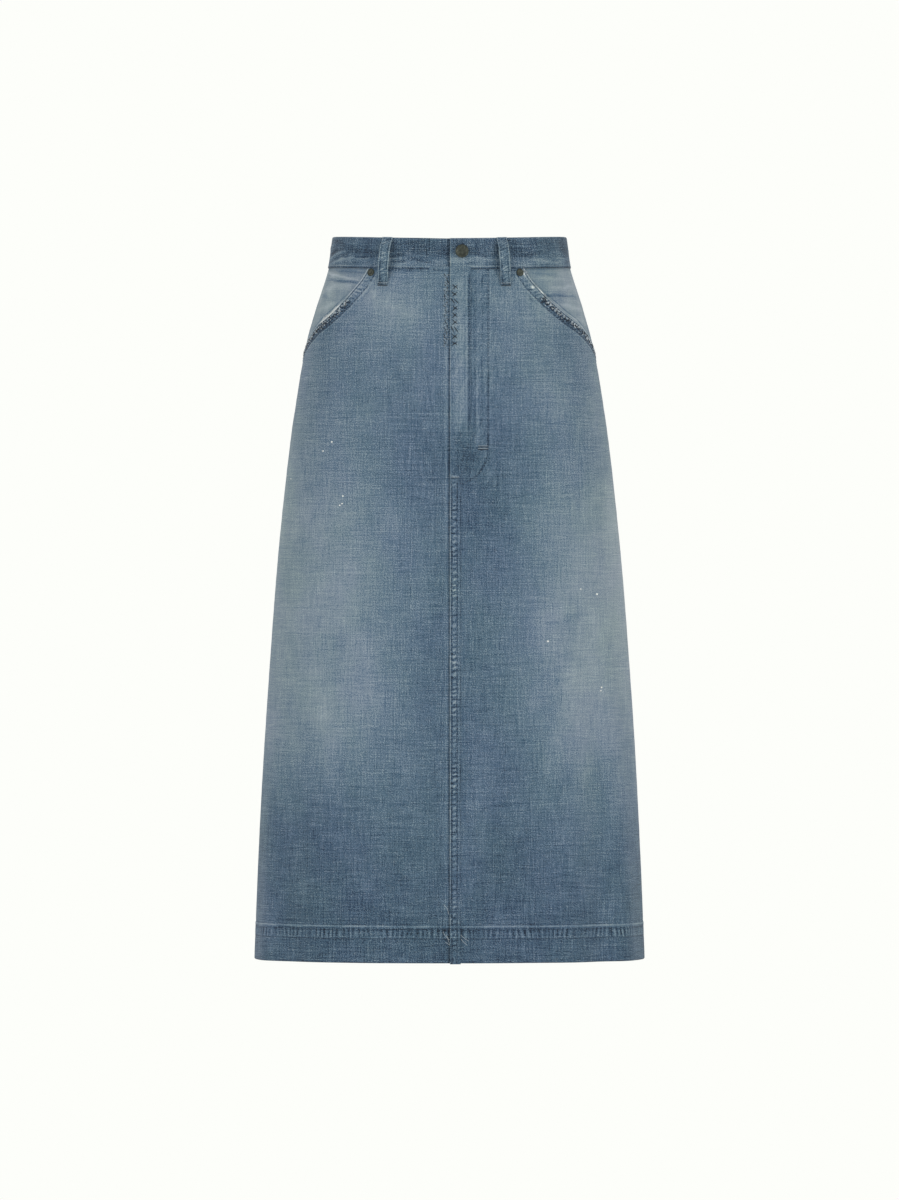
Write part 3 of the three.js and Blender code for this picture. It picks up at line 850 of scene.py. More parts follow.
def lay_facing(sense):
    def lay(u, v):
        start = pocket_start(sense)
        turn = sense * mix(start - FACING_INSET, SIDE_SEAM, u if sense > 0 else 1 - u)
        away = np.abs(turn)
        lowest = pocket_edge(np.where(away < start, sense * start, turn))
        drop = mix(FACING_TOP, np.maximum(lowest, WAISTBAND_HEIGHT) + FACING_UNDER, v)
        across = across_at(turn, drop)
        bends = relief(across, drop, FACING_CREASES)
        to_seam = ease(away, 80, 90)
        out = mix(-1.5, -0.3, to_seam) + bends * ease(away, start, start + 8) * (1 - to_seam)
        above_edge = pocket_edge(turn) - drop
        near_edge = ease(above_edge, -6, 7)
        # The facing is darker behind and just above the opening's edge, right under the waistband, further
        # down and at the side seam: painted shade inside the pocket.
        tone = FACING_TONE + 0.11 * bends - 0.10 * (1 - near_edge) - 0.14 * bell(above_edge, 0.8, 1.6)
        tone = tone + 0.05 * ease(away, 45, 70) - 0.045 * ease(away, 82, 90)
        tone = tone - 0.06 * ease(drop, 86, 128) - 0.05 * (1 - ease(drop, 38, 41))
        tone = tone + ease(away, start + 7, start + 16) * lines(above_edge, FACING_EDGE)
        rubbed = 0.05 * (sense > 0) * bell(across, 125, 14) * bell(drop, 50, 12)
        tone = tone + rubbed + 0.015 * wobble(across, 3, 30)
        return turn, drop, np.minimum(out, mix(-1.35, 0.2, near_edge)), tone

    return lay


cloth("facing_left_cloth", (104, 72), lay_facing(1), faded_denim, wall=0.9)
cloth("facing_right_cloth", (104, 72), lay_facing(-1), faded_denim, wall=0.9)

# %% [markdown]
# ## Seam strips
# The lapped seam down the centre front and back is sewn through every layer with two rows of
# stitches, and between them the cloth gathers into small lumps. It needs far more rows than the wide
# panels, so it is a narrow strip of its own that lies on the lap. Its weave coordinates carry on from
# the panel's, which hides the join.

# %% Lapped seams
SEAM_TOP = 283
STRIP_LIFT = 0.35
ROW_NEAR = 2.5
ROW_FAR = 9.0
LAYER_END = 11.2
LUMP_PITCH = 6.6
LUMP_MIDDLE = 5.8


def lay_seam(sense, centre, top):
    """Lumps between the two rows, and smaller pulls along each row."""

    def lay(u, v):
        from_edge = mix(LAP_EDGE - 0.15, SEAM_WIDTH + 1.2, u if sense > 0 else 1 - u)
        drop = mix(top, SKIRT_LENGTH + 0.9, v)
        turn = beside_seam(centre, sense * from_edge, drop)
        phase = drop / LUMP_PITCH + 0.45 * wobble(drop, 4, 30)
        strength = 0.82 + 0.5 * wobble(drop, 2, 45) + 0.2 * wobble(drop, 7, 14) - 0.2 * ease(drop, 620, 800)
        lumps = np.sin(2 * np.pi * phase + 0.5 * np.sin(from_edge)) * strength
        second = np.sin(2 * np.pi * phase * 1.31 + 1.9) * strength
        middle = bell(from_edge, LUMP_MIDDLE, 3.0)
        near_row, far_row = bell(from_edge, ROW_NEAR, 1.0), bell(from_edge, ROW_FAR, 0.9)
        edge = bell(from_edge, LAP_EDGE, 0.9)
        far_edge = ease(from_edge, SEAM_WIDTH - 0.8, SEAM_WIDTH + 1.2)
        out = LAP_RISE + STRIP_LIFT + 0.4 * lumps * middle - 0.35 * near_row * (0.7 + 0.3 * second)
        out = out - 0.3 * far_row - 0.25 * edge - (STRIP_LIFT + 0.45) * far_edge
        tone = TONE_OF[centre](turn, drop) + (0.03 + 0.165 * lumps) * middle
        tone = tone - 0.2 * near_row * (0.8 - 0.6 * second) - 0.14 * far_row * (0.8 + 0.6 * second)
        tone = tone + 0.08 * bell(from_edge, LAYER_END, 0.7) * (1 + 0.4 * lumps) - 0.1 * far_edge
        # The pale line along the lap's folded edge is partly wear and partly a painted highlight on the step.
        tone = tone + 0.26 * edge * (0.85 + 0.3 * wobble(drop, 6, 15)) + 0.03 * wobble(drop, 1, 12)
        return turn, drop, out + 0.12 * wobble(drop, 8, 60), tone

    return lay


cloth("front_seam_strip", (20, 600), lay_seam(1, FRONT, SEAM_TOP), denim, wall=0.3)
cloth("back_seam_strip", (16, 520), lay_seam(-1, BACK, PANEL_TOP), denim, wall=0.3, grain_from=BACK)

# %% [markdown]
# ## The fly
# Behind the lap there is a zip, which pushes a long soft ridge forward. A curved row of stitches holds
# the fly's inner layer: straight down, then round to the seam. The row pulls the cloth in, so it is a
# groove first and stitches after.

# %% The fly's topstitched cloth
FLY_TOP = 37.4
FLY_BOTTOM = 300
FLY_REACH = 56
STITCH_ACROSS = 46
CURVE_MIDDLE = 6.0
CURVE_START = 252
CURVE_END = 297
ZIP_MIDDLE = 12
HOLLOW_MIDDLE = 27
TAPE_EDGE = 33
STRIP_MIDDLE = 35
FLY_DASH = 4.2
STRIP_LINES = {
    "pale edge": (20.5, 0.9, 0.10),
    "dark edge": (23, 1.1, -0.11),
}


def stitch_line_distance(from_edge, drop):
    """Distance from the fly's curved row of stitches, in millimetres."""
    reach_x, reach_y = STITCH_ACROSS - CURVE_MIDDLE, CURVE_END - CURVE_START
    below = np.hypot((from_edge - CURVE_MIDDLE) / reach_x, (drop - CURVE_START) / reach_y) - 1
    curved = np.abs(below) * (reach_x + reach_y) / 2
    return np.where(drop < CURVE_START, np.abs(from_edge - STITCH_ACROSS), curved)


def zip_share(drop):
    """1 where the zip lies behind the cloth, and 0 above and below it."""
    return ease(drop, 40, 52) - ease(drop, 212, 244)


def fly_forms(from_edge, drop):
    """The zip's ridge, the hollow beside it, the stitched groove and the lap's edge, each up to 1."""
    zip_ridge = plateau(from_edge, ZIP_MIDDLE, 7.5) * zip_share(drop)
    hollow = bell(from_edge, HOLLOW_MIDDLE, 3.5) * zip_share(drop)
    groove = bell(stitch_line_distance(from_edge, drop), 0, 1.3)
    return zip_ridge, hollow, groove, bell(from_edge, LAP_EDGE, 0.9)


def fly_tone_marks(from_edge, drop):
    """Changes of tone along the fly: pressed lines, a pale and a dark line beside the zip's ridge, a dark
    knot, and streaks.
    """
    tape = 0.08 * bell(from_edge, TAPE_EDGE, 0.9) * (ease(drop, 120, 190) - ease(drop, 245, 252))
    beside_groove = 0.06 * bell(from_edge, STITCH_ACROSS + 2.4, 1.0) * (1 - ease(drop, 240, 252))
    knot = 0.03 * bell(from_edge, 20, 11) * bell(drop, 264, 20)
    mottle = wobble(drop * 1.3 + 4 * from_edge, 4, 9) * bell(from_edge, 28, 12) * bell(drop, 280, 16)
    streaks = wobble(from_edge + 0.012 * drop, 3, 4.2) * (0.8 + 0.5 * wobble(drop, 5, 60))
    along_zip = lines(from_edge, STRIP_LINES) + 0.05 * streaks * plateau(from_edge, STRIP_MIDDLE, 11)
    fine = 0.025 * wobble(drop + 2 * from_edge, 5, 11)
    return along_zip * zip_share(drop) + tape + beside_groove - knot + 0.06 * mottle + fine


def lay_fly(u, v):
    from_edge = mix(LAP_EDGE - 0.1, FLY_REACH, u)
    drop = mix(FLY_TOP, FLY_BOTTOM, v)
    turn = turn_at(from_edge, drop)
    zip_ridge, hollow, groove, edge = fly_forms(from_edge, drop)
    border = ease(FLY_REACH - from_edge, 0, 5) * ease(FLY_BOTTOM - drop, 0, 8)
    bends = 0.16 * wobble(drop, 3, 34) * bell(from_edge, 30, 14)
    out = lap_out(from_edge, drop, True) + 0.28 + 0.75 * zip_ridge - 0.25 * hollow - 0.34 * groove
    out = out - 0.3 * edge + bends - 0.5 * (1 - border)
    out = out + ripple(from_edge, drop) * ease(from_edge, 2, 26) * ease(drop, 40, 90)
    dashes = 0.75 + 0.45 * np.sin(2 * np.pi * drop / FLY_DASH + 0.8 * wobble(drop, 2, 20))
    stitched = 0.14 * groove * dashes * np.where(drop < CURVE_START, 1.3, 0.5)
    tone = front_tone(turn, drop) + fly_tone_marks(from_edge, drop) - stitched
    # The lap's edge is lighter: partly wear and partly a painted highlight.
    return turn, drop, out, tone + 0.075 * zip_ridge - 0.06 * hollow + 0.12 * edge + 0.07 * bends


cloth("fly_cloth", (72, 220), lay_fly, denim, wall=0.4)

# %% [markdown]
# ## Bands along the pocket openings
# Each opening's edge is turned under and stitched twice. It is rubbed every time a hand goes in, so it
# has been mended with dense rough stitches, and in places the white weft shows.

# %% Pocket bands
POCKET_BAND = 12.5
POCKET_ROW_NEAR = 1.9
POCKET_ROW_FAR = 11.2
MENDED_FROM = {-1: 46, 1: 42}
POCKET_LUMPS = 5.2
POCKET_DASH = 4.4
MEND_BEAT = 4.6
RIGHT_WORN = {
    "along": (65, 73, 81, 90, 52),
    "inwards": (0.5, 0.5, 0.5, 0.5, 4.5),
    "length": (5, 6, 6, 6, 3),
    "width": (0.65, 0.75, 0.75, 0.7, 1.0),
    "lift": (0.9, 1.2, 1.2, 0.9, 0.25),
}
LEFT_WORN = {
    "along": (4, 25, 36, 60, 100),
    "inwards": (3.4, 5.0, 0.8, 5.5, 4.0),
    "length": (4, 2.6, 5, 4, 5),
    "width": (1.8, 1.6, 1.0, 1.2, 1.2),
    "lift": (0.5, 0.42, 0.35, 0.25, 0.2),
}
POCKET_WORN = {-1: RIGHT_WORN, 1: LEFT_WORN}
POCKET_LINES = {
    "edge": (0.3, 0.8, 0.22),
    "first row": (POCKET_ROW_NEAR, 0.7, -0.19),
    "fold": (3.1, 0.8, 0.13),
    "flat middle": (8.6, 3.2, -0.03),
    "far edge": (13, 0.8, 0.09),
}


def pocket_route(sense):
    """Along, across and drop of the opening's edge, and the direction from it into the panel."""
    turn = sense * np.linspace(pocket_start(sense), SIDE_SEAM, 321)
    drop = pocket_edge(turn)
    across = across_at(turn, drop)
    steps = np.hypot(np.diff(across), np.diff(drop))
    along = np.concatenate([[0], np.cumsum(steps)])
    ahead_x, ahead_y = np.gradient(across, along), np.gradient(drop, along)
    size = np.hypot(ahead_x, ahead_y)
    return along, across, drop, -ahead_y / size * sense, sense * ahead_x / size


POCKET_ROUTES = {sense: pocket_route(sense) for sense in (-1, 1)}
POCKET_LENGTHS = {sense: float(route[0][-1]) for sense, route in POCKET_ROUTES.items()}
print("Pocket openings are", [round(length) for length in POCKET_LENGTHS.values()], "mm long")


def edge_point(sense, along, inwards):
    """Turn and drop of a place beside the opening, by its distance along the edge and into the panel."""
    station, *columns = POCKET_ROUTES[sense]
    x, y, inward_x, inward_y = (np.interp(along, station, column) for column in columns)
    drop = y + inward_y * inwards
    return turn_at(x + inward_x * inwards, drop), drop


def mended_tone(along, inwards):
    """Dense mending makes rough threads, dark beats across the band and pale ones nearer the edge. A soft
    darker band lies further in.
    """
    rough = wobble(along * 1.6 + inwards * 2.2, 6, 4.5) * wobble(inwards * 2 - along, 2, 5)
    beat = np.sin(2 * np.pi * (along + 0.5 * inwards) / MEND_BEAT + 1.2 * wobble(along, 8, 12))
    tone = (0.34 * rough - 0.02) * bell(inwards, 5.5, 4.2) - 0.09 * bell(inwards, 8.6, 3.2)
    tone = tone - 0.42 * np.maximum(beat, 0) * bell(inwards, 5.6, 2.1)
    return tone + 0.3 * np.maximum(-beat, 0) * bell(inwards, 3.2, 1.5)


def lay_pocket(sense):
    def lay(u, v):
        along = POCKET_LENGTHS[sense] * (u if sense > 0 else 1 - u)
        inwards = mix(-0.35, POCKET_BAND + 3, v**1.25)
        turn, drop = edge_point(sense, along, inwards)
        slanted = 2 * np.pi * (along / POCKET_LUMPS + inwards / 9) + 1.6 * wobble(along, 5, 22)
        lumps = np.sin(slanted) * bell(inwards, 6.4, 3.6) * (0.8 + 0.4 * wobble(along, 3, 14))
        far_row = bell(inwards, POCKET_ROW_FAR, 0.9)
        out = 0.55 - 0.25 * bell(inwards, POCKET_ROW_NEAR, 0.7) - 0.3 * far_row + 0.32 * lumps
        out = out - 0.15 * bell(inwards, 0.3, 0.8) - 1.0 * ease(inwards, POCKET_BAND + 0.5, POCKET_BAND + 3)
        out = out * ease(along, -1, 3) - 0.15 * (1 - ease(along, 0, 4))
        mended = ease(along, MENDED_FROM[sense] - 5, MENDED_FROM[sense] + 3)
        tone = front_tone(turn, drop) + lines(inwards, POCKET_LINES) + mended * mended_tone(along, inwards)
        tone = tone + 0.11 * lumps - 0.16 * far_row * (0.7 + 0.5 * beats(along, POCKET_DASH))
        return np.clip(turn, -90.2, 90.2), drop, out, tone + patches(along, inwards, POCKET_WORN[sense])

    return lay


cloth("pocket_band_left", (320, 24), lay_pocket(1), denim, wall=0.35)
cloth("pocket_band_right", (320, 24), lay_pocket(-1), denim, wall=0.35)

# %% [markdown]
# ## Belt loops
# A belt loop is a narrow folded strip, so its long edges are thicker and wash pale while the middle
# stays dark and mottled. Each one is tucked in at the waistband's top edge, stands off to let a belt
# through, and ends in a bar of dense stitches below the seam.

# %% Belt loops
LOOP_WIDTH = 12.4
LOOP_HALF_THICKNESS = 0.9
LOOP_TONE = 0.39
# Turn at the top and at the foot, and how much further out the loop sits
LOOPS = {
    "front_right": (-30.5, -30.8, 0),
    "front_left": (25.5, 25.7, 0),
    "back_left": (138, 138, 0),
    "back_centre": (BACK, BACK, LAP_RISE),
    "back_right": (-138, -138, 0),
}
LOOP_DROPS = (-0.4, 3, 7.5, 12, 21, 31, 39, 45, 49.5, 53, 57)
LOOP_OUTS = (2.3, 2.7, 5.8, 8.6, 9.8, 9.8, 8.0, 4.8, 2.1, 1.3, 1.2)
loop_out = smooth_curve(LOOP_DROPS, LOOP_OUTS)


def lay_loop(top, bottom, raised, seed):
    def lay(u, v):
        drop = mix(LOOP_DROPS[0], LOOP_DROPS[-1], v)
        sideways = mix(-1, 1, u)
        beside = np.abs(sideways)
        ragged = 1 + 0.05 * wobble(drop, seed, 9) * beside
        turn = beside_seam(mix(top, bottom, v), sideways * ragged * LOOP_WIDTH / 2, drop)
        rolled, stitched = bell(beside, 0.88, 0.11), bell(beside, 0.64, 0.1)
        lumps = wobble(drop + 3 * sideways, seed, 7)
        tacked = ease(drop, 52.5, 53.5) - ease(drop, 56, 57)
        tucked = ease(drop, 56, 57)
        out = loop_out(drop) + raised * ease(drop, 18, 37) + LOOP_HALF_THICKNESS
        out = out + 0.25 * rolled - 0.3 * stitched + 0.2 * lumps * (1 - beside) - 0.5 * ease(beside, 0.93, 1)
        out = out - 0.35 * tacked - 0.6 * tucked
        mottle = wobble(drop * 1.3 + 3 * sideways, seed + 2, 4) * wobble(drop + 6 * sideways, seed + 4, 6)
        worn = ease(wobble(drop * 1.7 + 5 * sideways, seed + 2, 8), 0.35, 0.9) * ease(1 - beside, 0.1, 0.6)
        tone = LOOP_TONE + 0.17 * rolled * (0.9 + 0.3 * lumps) - 0.13 * stitched + 0.09 * worn
        tone = tone + 0.24 * mottle * ease(1 - beside, 0.1, 0.4) - 0.08 * tacked - 0.12 * tucked
        return turn, drop, out, tone + 0.2 * (1 - ease(drop, -0.4, 2.5))

    return lay


for seed, (name, (top, bottom, raised)) in enumerate(LOOPS.items(), 1):
    rule = lay_loop(top, bottom, raised, seed)
    cloth("loop_" + name, (22, 76), rule, band_denim, 1.6, band_denim, grain_from=top)

# %% [markdown]
# ## Stitches
# A stitch is a short thread lying in a small dent. One low rounded shape is repeated along each seam,
# with few faces, because there are many. Their rows are functions of the same distances as the
# grooves that they lie in.

# %% Threads
# Length, width and rise of the stitches, in millimetres
STITCH_SIZES = {
    "plain": (2.5, 0.62, 0.34),
    "waistband": (2.3, 0.55, 0.3),
    "tack": (2.0, 0.7, 0.4),
    "tack shadow": (2.0, 0.8, 0.35),
    "dark mend": (3.1, 1.0, 0.42),
    "pale mend": (2.1, 1.0, 0.45),
    "fly cross": (9.8, 1.15, 0.5),
    "fly side": (2.6, 0.9, 0.35),
    "pale fly side": (2.0, 0.7, 0.35),
    "loop bar": (1.5, 0.8, 0.3),
    "loop shadow": (1.5, 0.9, 0.3),
}


def thread_material(name, colour, paler):
    material, tree, shader = new_material(name, {"Roughness": 0.7})
    fuzz = noise_node(tree, add_node(tree, "TexCoord").outputs["Object"], (900, 900, 900), 2)
    tree.links.new(screen_ramp(tree, fuzz, {0.3: colour, 0.75: paler}), shader.inputs["Base Color"])
    bump_node(tree, shader, fuzz, 0.4, 0.0002)
    return material


navy_thread = thread_material("navy_thread", (34, 44, 62), (70, 84, 104))
dark_thread = thread_material("dark_thread", (12, 16, 24), (34, 42, 56))
pale_thread = thread_material("pale_thread", (128, 142, 154), (190, 200, 206))
worn_thread = thread_material("worn_thread", (150, 163, 174), (212, 219, 222))
white_thread = thread_material("white_thread", (196, 204, 208), (244, 246, 244))


def add_drop(bm, point, along, outward, size, fineness=1):
    """A small low rounded shape, long in one direction. It stands out by its rise, and sinks in as much."""
    length, width, rise = size
    turned = Matrix((along, outward.cross(along), outward)).transposed().to_4x4()
    shape = Matrix.Diagonal((length / 2000, width / 2000, rise / 1000, 1))
    where = Matrix.Translation(point) @ turned @ shape
    bmesh.ops.create_icosphere(bm, subdivisions=fineness, radius=1, matrix=where)


def stitches(name, rows, finish, size="plain"):
    """Small low threads. Each row holds turns, drops, outs and slants in degrees from level."""
    bm = bmesh.new()
    count = 0
    for row in rows:
        turn, drop, out, slant = np.broadcast_arrays(*(np.atleast_1d(column) for column in row))
        parts = zip(place(turn, drop, out), *directions(turn, drop), np.radians(slant))
        for point, across, down, outward, angle in parts:
            along = Vector(math.cos(angle) * across + math.sin(angle) * down)
            add_drop(bm, point, along, Vector(outward), STITCH_SIZES[size])
            count += 1
    add_piece(mesh_from(name, bm), finish)
    print(name, "has", count, "stitches")


# %% Stitches of the centre seams and hems
def seam_rows(sense, centre, top):
    drops = np.arange(top + 4, SKIRT_LENGTH - 2, STITCH_PITCH)
    for from_edge in (ROW_NEAR, ROW_FAR):
        turns = beside_seam(centre, sense * from_edge, drops)
        yield turns, drops, LAP_RISE + STRIP_LIFT - 0.28, 90 + 4 * wobble(drops, 2)


def hem_row(sense, centre, raised):
    """Stitches from beside the centre seam to the side seam. A raised panel's begin past its lap."""
    reach = abs(from_seam(centre, SIDE_SEAM, ROPE_BOTTOM)) - 4
    offsets = np.arange(SEAM_WIDTH + 5 if raised else 5, reach, STITCH_PITCH)
    drops = ROPE_BOTTOM + 0.35 * wobble(offsets, 3, 30)
    yield beside_seam(centre, sense * offsets, drops), drops, 0.05, 3 * wobble(offsets, 4)


stitches("front_seam_stitches", seam_rows(1, FRONT, SEAM_TOP), navy_thread)
stitches("back_seam_stitches", seam_rows(-1, BACK, WAISTBAND_HEIGHT + 1), navy_thread)
for name, panel in PANELS.items():
    stitches("hem_stitches_" + name, hem_row(*panel), navy_thread)


# %% Stitches of the fly, the pocket bands and the waistband
def fly_rows():
    straight = np.arange(44, CURVE_START, STITCH_PITCH)
    yield turn_at(STITCH_ACROSS, straight), straight, 0.05, 90 + 4 * wobble(straight, 5)
    angles = np.arange(3, 84, 4.6)
    across = CURVE_MIDDLE + (STITCH_ACROSS - CURVE_MIDDLE) * np.cos(np.radians(angles))
    drops = CURVE_START + (CURVE_END - CURVE_START) * np.sin(np.radians(angles))
    yield turn_at(across, drops), drops, lap_out(across, drops, True) + 0.05, 90 + angles


TACK_PITCH = 0.9
TACKS = {
    "begins": (34.5, 34.5, 2.5),
    "ends": (45.5, 45.5, 11),
    "drop": (250.6, 253.8, 288.0),
    "out": (0.35, 0.35, 2.1),
    "slant": (8, 8, 4),
}


def tack_rows(lower=0.0, deeper=0.0):
    """Bars of dense stitches that end the fly's opening."""
    for begins, ends, drop, out, slant in rows_of(TACKS):
        turns = turn_at(np.arange(begins, ends, TACK_PITCH), drop)
        yield turns, drop + lower, out - deeper, slant


def pocket_rows(sense):
    for inwards in (POCKET_ROW_NEAR, POCKET_ROW_FAR):
        along = np.arange(4, POCKET_LENGTHS[sense] - 2, STITCH_PITCH)
        turns, drops = edge_point(sense, along, inwards)
        ahead_turns, ahead_drops = edge_point(sense, along + 1, inwards)
        run = from_seam(ahead_turns, turns, drops)
        yield turns, drops, 0.35, np.degrees(np.arctan2(ahead_drops - drops, run))


def band_rows():
    turns = np.arange(1.5, 345, 1.25)
    yield turns, BAND_ROW + 0.25 * wobble(turns, 3, 6), 0.85, 2 * wobble(turns, 5)


stitches("fly_stitches", fly_rows(), navy_thread)
stitches("fly_tacks", tack_rows(), pale_thread, "tack")
stitches("fly_tack_shadows", tack_rows(lower=1.3, deeper=0.1), dark_thread, "tack shadow")
stitches("pocket_stitches_left", pocket_rows(1), navy_thread)
stitches("pocket_stitches_right", pocket_rows(-1), navy_thread)
stitches("waistband_stitches", band_rows(), navy_thread, "waistband")

# %% [markdown]
# ## Mending
# The pocket edges and the fly have been mended by hand with heavy thread. The marks are irregular on
# purpose: short slants and crosses of uneven length, dark ones between a few pale ones. A seeded
# random generator makes the unevenness, so each run gives the same stitches.

# %% Mending stitches
def mending_rows(sense, count, seed):
    """Slants and crosses over a pocket band, as places, angles and heights."""
    random = np.random.default_rng(seed)
    along = np.sort(random.uniform(MENDED_FROM[sense], POCKET_LENGTHS[sense] - 1, count))
    inwards = np.clip(random.normal(5.4, 2.0, count), 2.4, 9.6)
    turns, drops = edge_point(sense, along, inwards)
    slants = np.where(random.random(count) < 0.75, 62, -20) * sense + random.normal(0, 16, count)
    yield turns, drops, 0.6 + random.uniform(-0.05, 0.2, count), slants


def fly_mend_rows(count, seed):
    """Crosses down the lap, each apart from the next, with a double slant in each fourth place."""
    random = np.random.default_rng(seed)
    strokes = []
    for k, drop in enumerate(np.linspace(59, 127, count)):
        middle = 6.1 + random.uniform(-0.7, 0.7)
        lean = random.uniform(30, 42)
        if k % 4 == 2:
            strokes += [(middle - 2.2, drop, lean + 22), (middle + 2.2, drop + 0.5, lean + 14)]
        else:
            strokes += [(middle, drop, lean), (middle + random.uniform(-0.6, 0.6), drop + 0.6, -lean - 6)]
    across, drops, slants = np.array(strokes).T
    yield turn_at(across, drops), drops, 2.75, slants


def fly_side_rows(count, seed):
    random = np.random.default_rng(seed)
    drops = np.linspace(44, 130, count) + random.uniform(-1, 1, count)
    across = random.uniform(-6.8, -1.4, count)
    yield turn_at(across, drops), drops, 0.55, random.uniform(10, 80, count)


stitches("mending_left_dark", mending_rows(1, count=115, seed=11), dark_thread, "dark mend")
stitches("mending_left_pale", mending_rows(1, count=120, seed=12), worn_thread, "pale mend")
stitches("mending_right_dark", mending_rows(-1, count=105, seed=13), dark_thread, "dark mend")
stitches("mending_right_pale", mending_rows(-1, count=90, seed=14), worn_thread, "pale mend")
stitches("mending_fly", fly_mend_rows(count=9, seed=21), dark_thread, "fly cross")
stitches("mending_fly_side", fly_side_rows(count=70, seed=22), dark_thread, "fly side")
stitches("mending_fly_pale", fly_side_rows(count=46, seed=23), pale_thread, "pale fly side")


# %% Bars at the feet of the belt loops
def loop_foot_rows(bottom, drop, out):
    across = across_at(bottom, drop) + np.arange(-5.6, 5.7, 0.8)
    yield turn_at(across, drop), drop, out, 0


for name, (_top, bottom, raised) in LOOPS.items():
    bar = loop_foot_rows(bottom, drop=55.0, out=1.95 + raised)
    shadow = loop_foot_rows(bottom, drop=57.7, out=0.35 + raised)
    stitches("loop_bar_" + name, bar, pale_thread, "loop bar")
    stitches("loop_shadow_" + name, shadow, dark_thread, "loop shadow")

# %% [markdown]
# ## Button and rivets
# The metal is turned: a profile spun round its own axis, in old dark brass. Spinning keeps the rims
# round and the parts true. The tarnish is uneven, and it is smoother where it has been rubbed pale.

# %% Old brass
SPIN_STEPS = 48
BUTTON_PROFILE = {
    "radius": (0, 3.6, 3.6, 7.2, 7.75, 7.9, 7.9, 7.6, 7.0, 6.3, 5.7, 5.2, 3.0, 1.2, 0),
    "height": (0, 0, 1.4, 1.5, 1.8, 2.1, 2.9, 3.3, 3.5, 3.5, 3.35, 3.1, 3.05, 3.2, 3.25),
}
RIVET_PROFILE = {
    "radius": (0, 4.4, 4.5, 4.2, 3.8, 3.2, 2.4, 1.9, 1.5, 0.8, 0),
    "height": (0, 0, 0.5, 0.9, 1.1, 1.25, 1.3, 1.2, 1.0, 1.02, 1.05),
}
BRASS_COLOURS = {0.25: (44, 48, 44), 0.5: (62, 66, 59), 0.68: (80, 84, 74), 0.85: (106, 108, 94)}


def brass_material():
    material, tree, shader = new_material("old_brass", {"Roughness": 0.42, "Metallic": 0.6})
    tarnish = noise_node(tree, add_node(tree, "TexCoord").outputs["Object"], (420, 420, 420), 4, 0.6)
    tree.links.new(screen_ramp(tree, tarnish, BRASS_COLOURS), shader.inputs["Base Color"])
    tree.links.new(math_node(tree, "MULTIPLY_ADD", tarnish, -0.3, 0.62), shader.inputs["Roughness"])
    bump_node(tree, shader, tarnish, 0.35, 0.0002)
    return material


def turned_metal(name, profile, turn, drop, out):
    """Spins a profile round the outward direction at a place on the cloth."""
    bm = bmesh.new()
    corners = [bm.verts.new(Vector((radius, 0, height)) / 1000) for radius, height in rows_of(profile)]
    edges = [bm.edges.new(pair) for pair in zip(corners, corners[1:])]
    bmesh.ops.spin(
        bm, geom=corners + edges, cent=(0, 0, 0), axis=(0, 0, 1),
        angle=2 * math.pi, steps=SPIN_STEPS, use_merge=True,
    )
    bmesh.ops.remove_doubles(bm, verts=bm.verts, dist=1e-6)
    bmesh.ops.recalc_face_normals(bm, faces=bm.faces)
    outward = Vector(directions(turn, drop)[2])
    facing = Vector((0, 0, 1)).rotation_difference(outward).to_matrix().to_4x4()
    bmesh.ops.transform(bm, matrix=Matrix.Translation(place(turn, drop, out)) @ facing, verts=bm.verts)
    add_piece(mesh_from(name, bm), brass)
    print(name, "is", 2 * max(profile["radius"]), "mm wide")


brass = brass_material()
turned_metal("fly_button", BUTTON_PROFILE, turn=6.0, drop=16.0, out=1.5)
turned_metal("pocket_rivet_left", RIVET_PROFILE, turn=33.6, drop=42.2, out=0.3)
turned_metal("pocket_rivet_right", RIVET_PROFILE, turn=-38.0, drop=42.2, out=0.3)

# %% [markdown]
# ## Loose threads and paint
# Threads hang where an edge has frayed, and a few flecks of white paint have dried on the front. Each
# thread is a thin curve given a round section and then made a mesh, and each fleck is a flat drop.

# %% Frayed threads
# Across, drop, out, and the lean in degrees from level
SEAM_FRAYS = [
    (-8, 825, 0.3, 76), (-5.5, 827, 0.3, 66), (-7, 838, 0.4, 40), (-9, 794, 0.3, 35),
    (11.5, 829, 2.2, 52), (12.5, 834, 1.2, 58),
]


def add_thread(bm, points, radius):
    """Adds a thin round thread through some points."""
    curve = bpy.data.curves.new("thread", "CURVE")
    curve.dimensions = "3D"
    curve.bevel_depth = radius / 1000
    curve.bevel_resolution = 0
    curve.resolution_u = 3
    spline = curve.splines.new("POLY")
    spline.points.add(len(points) - 1)
    for point, co in zip(spline.points, points):
        point.co = (*co, 1)
    holder = bpy.data.objects.new("thread", curve)
    bm.from_mesh(holder.to_mesh())
    holder.to_mesh_clear()
    bpy.data.objects.remove(holder)
    bpy.data.curves.remove(curve)


def frayed(name, starts, finish, seed, length, radius=0.24):
    """Short threads. Each start holds across, drop, out and the way that it leans in degrees from level."""
    random = np.random.default_rng(seed)
    bm = bmesh.new()
    t = np.linspace(0, 1, 6)
    for count, (across, drop, out, lean) in enumerate(starts, 1):
        reach = random.uniform(*length)
        angle = math.radians(lean) + random.uniform(-0.9, 0.9) * t
        xs = across + np.cumsum(np.cos(angle)) * reach / 6
        ys = drop + np.cumsum(np.sin(angle)) * reach / 6
        outs = out + 0.5 * np.sin(np.pi * t) * random.uniform(0.3, 1.2)
        add_thread(bm, place(turn_at(xs, ys), ys, outs), radius)
    add_piece(mesh_from(name, bm), finish)
    print(name, "has", count, "threads")


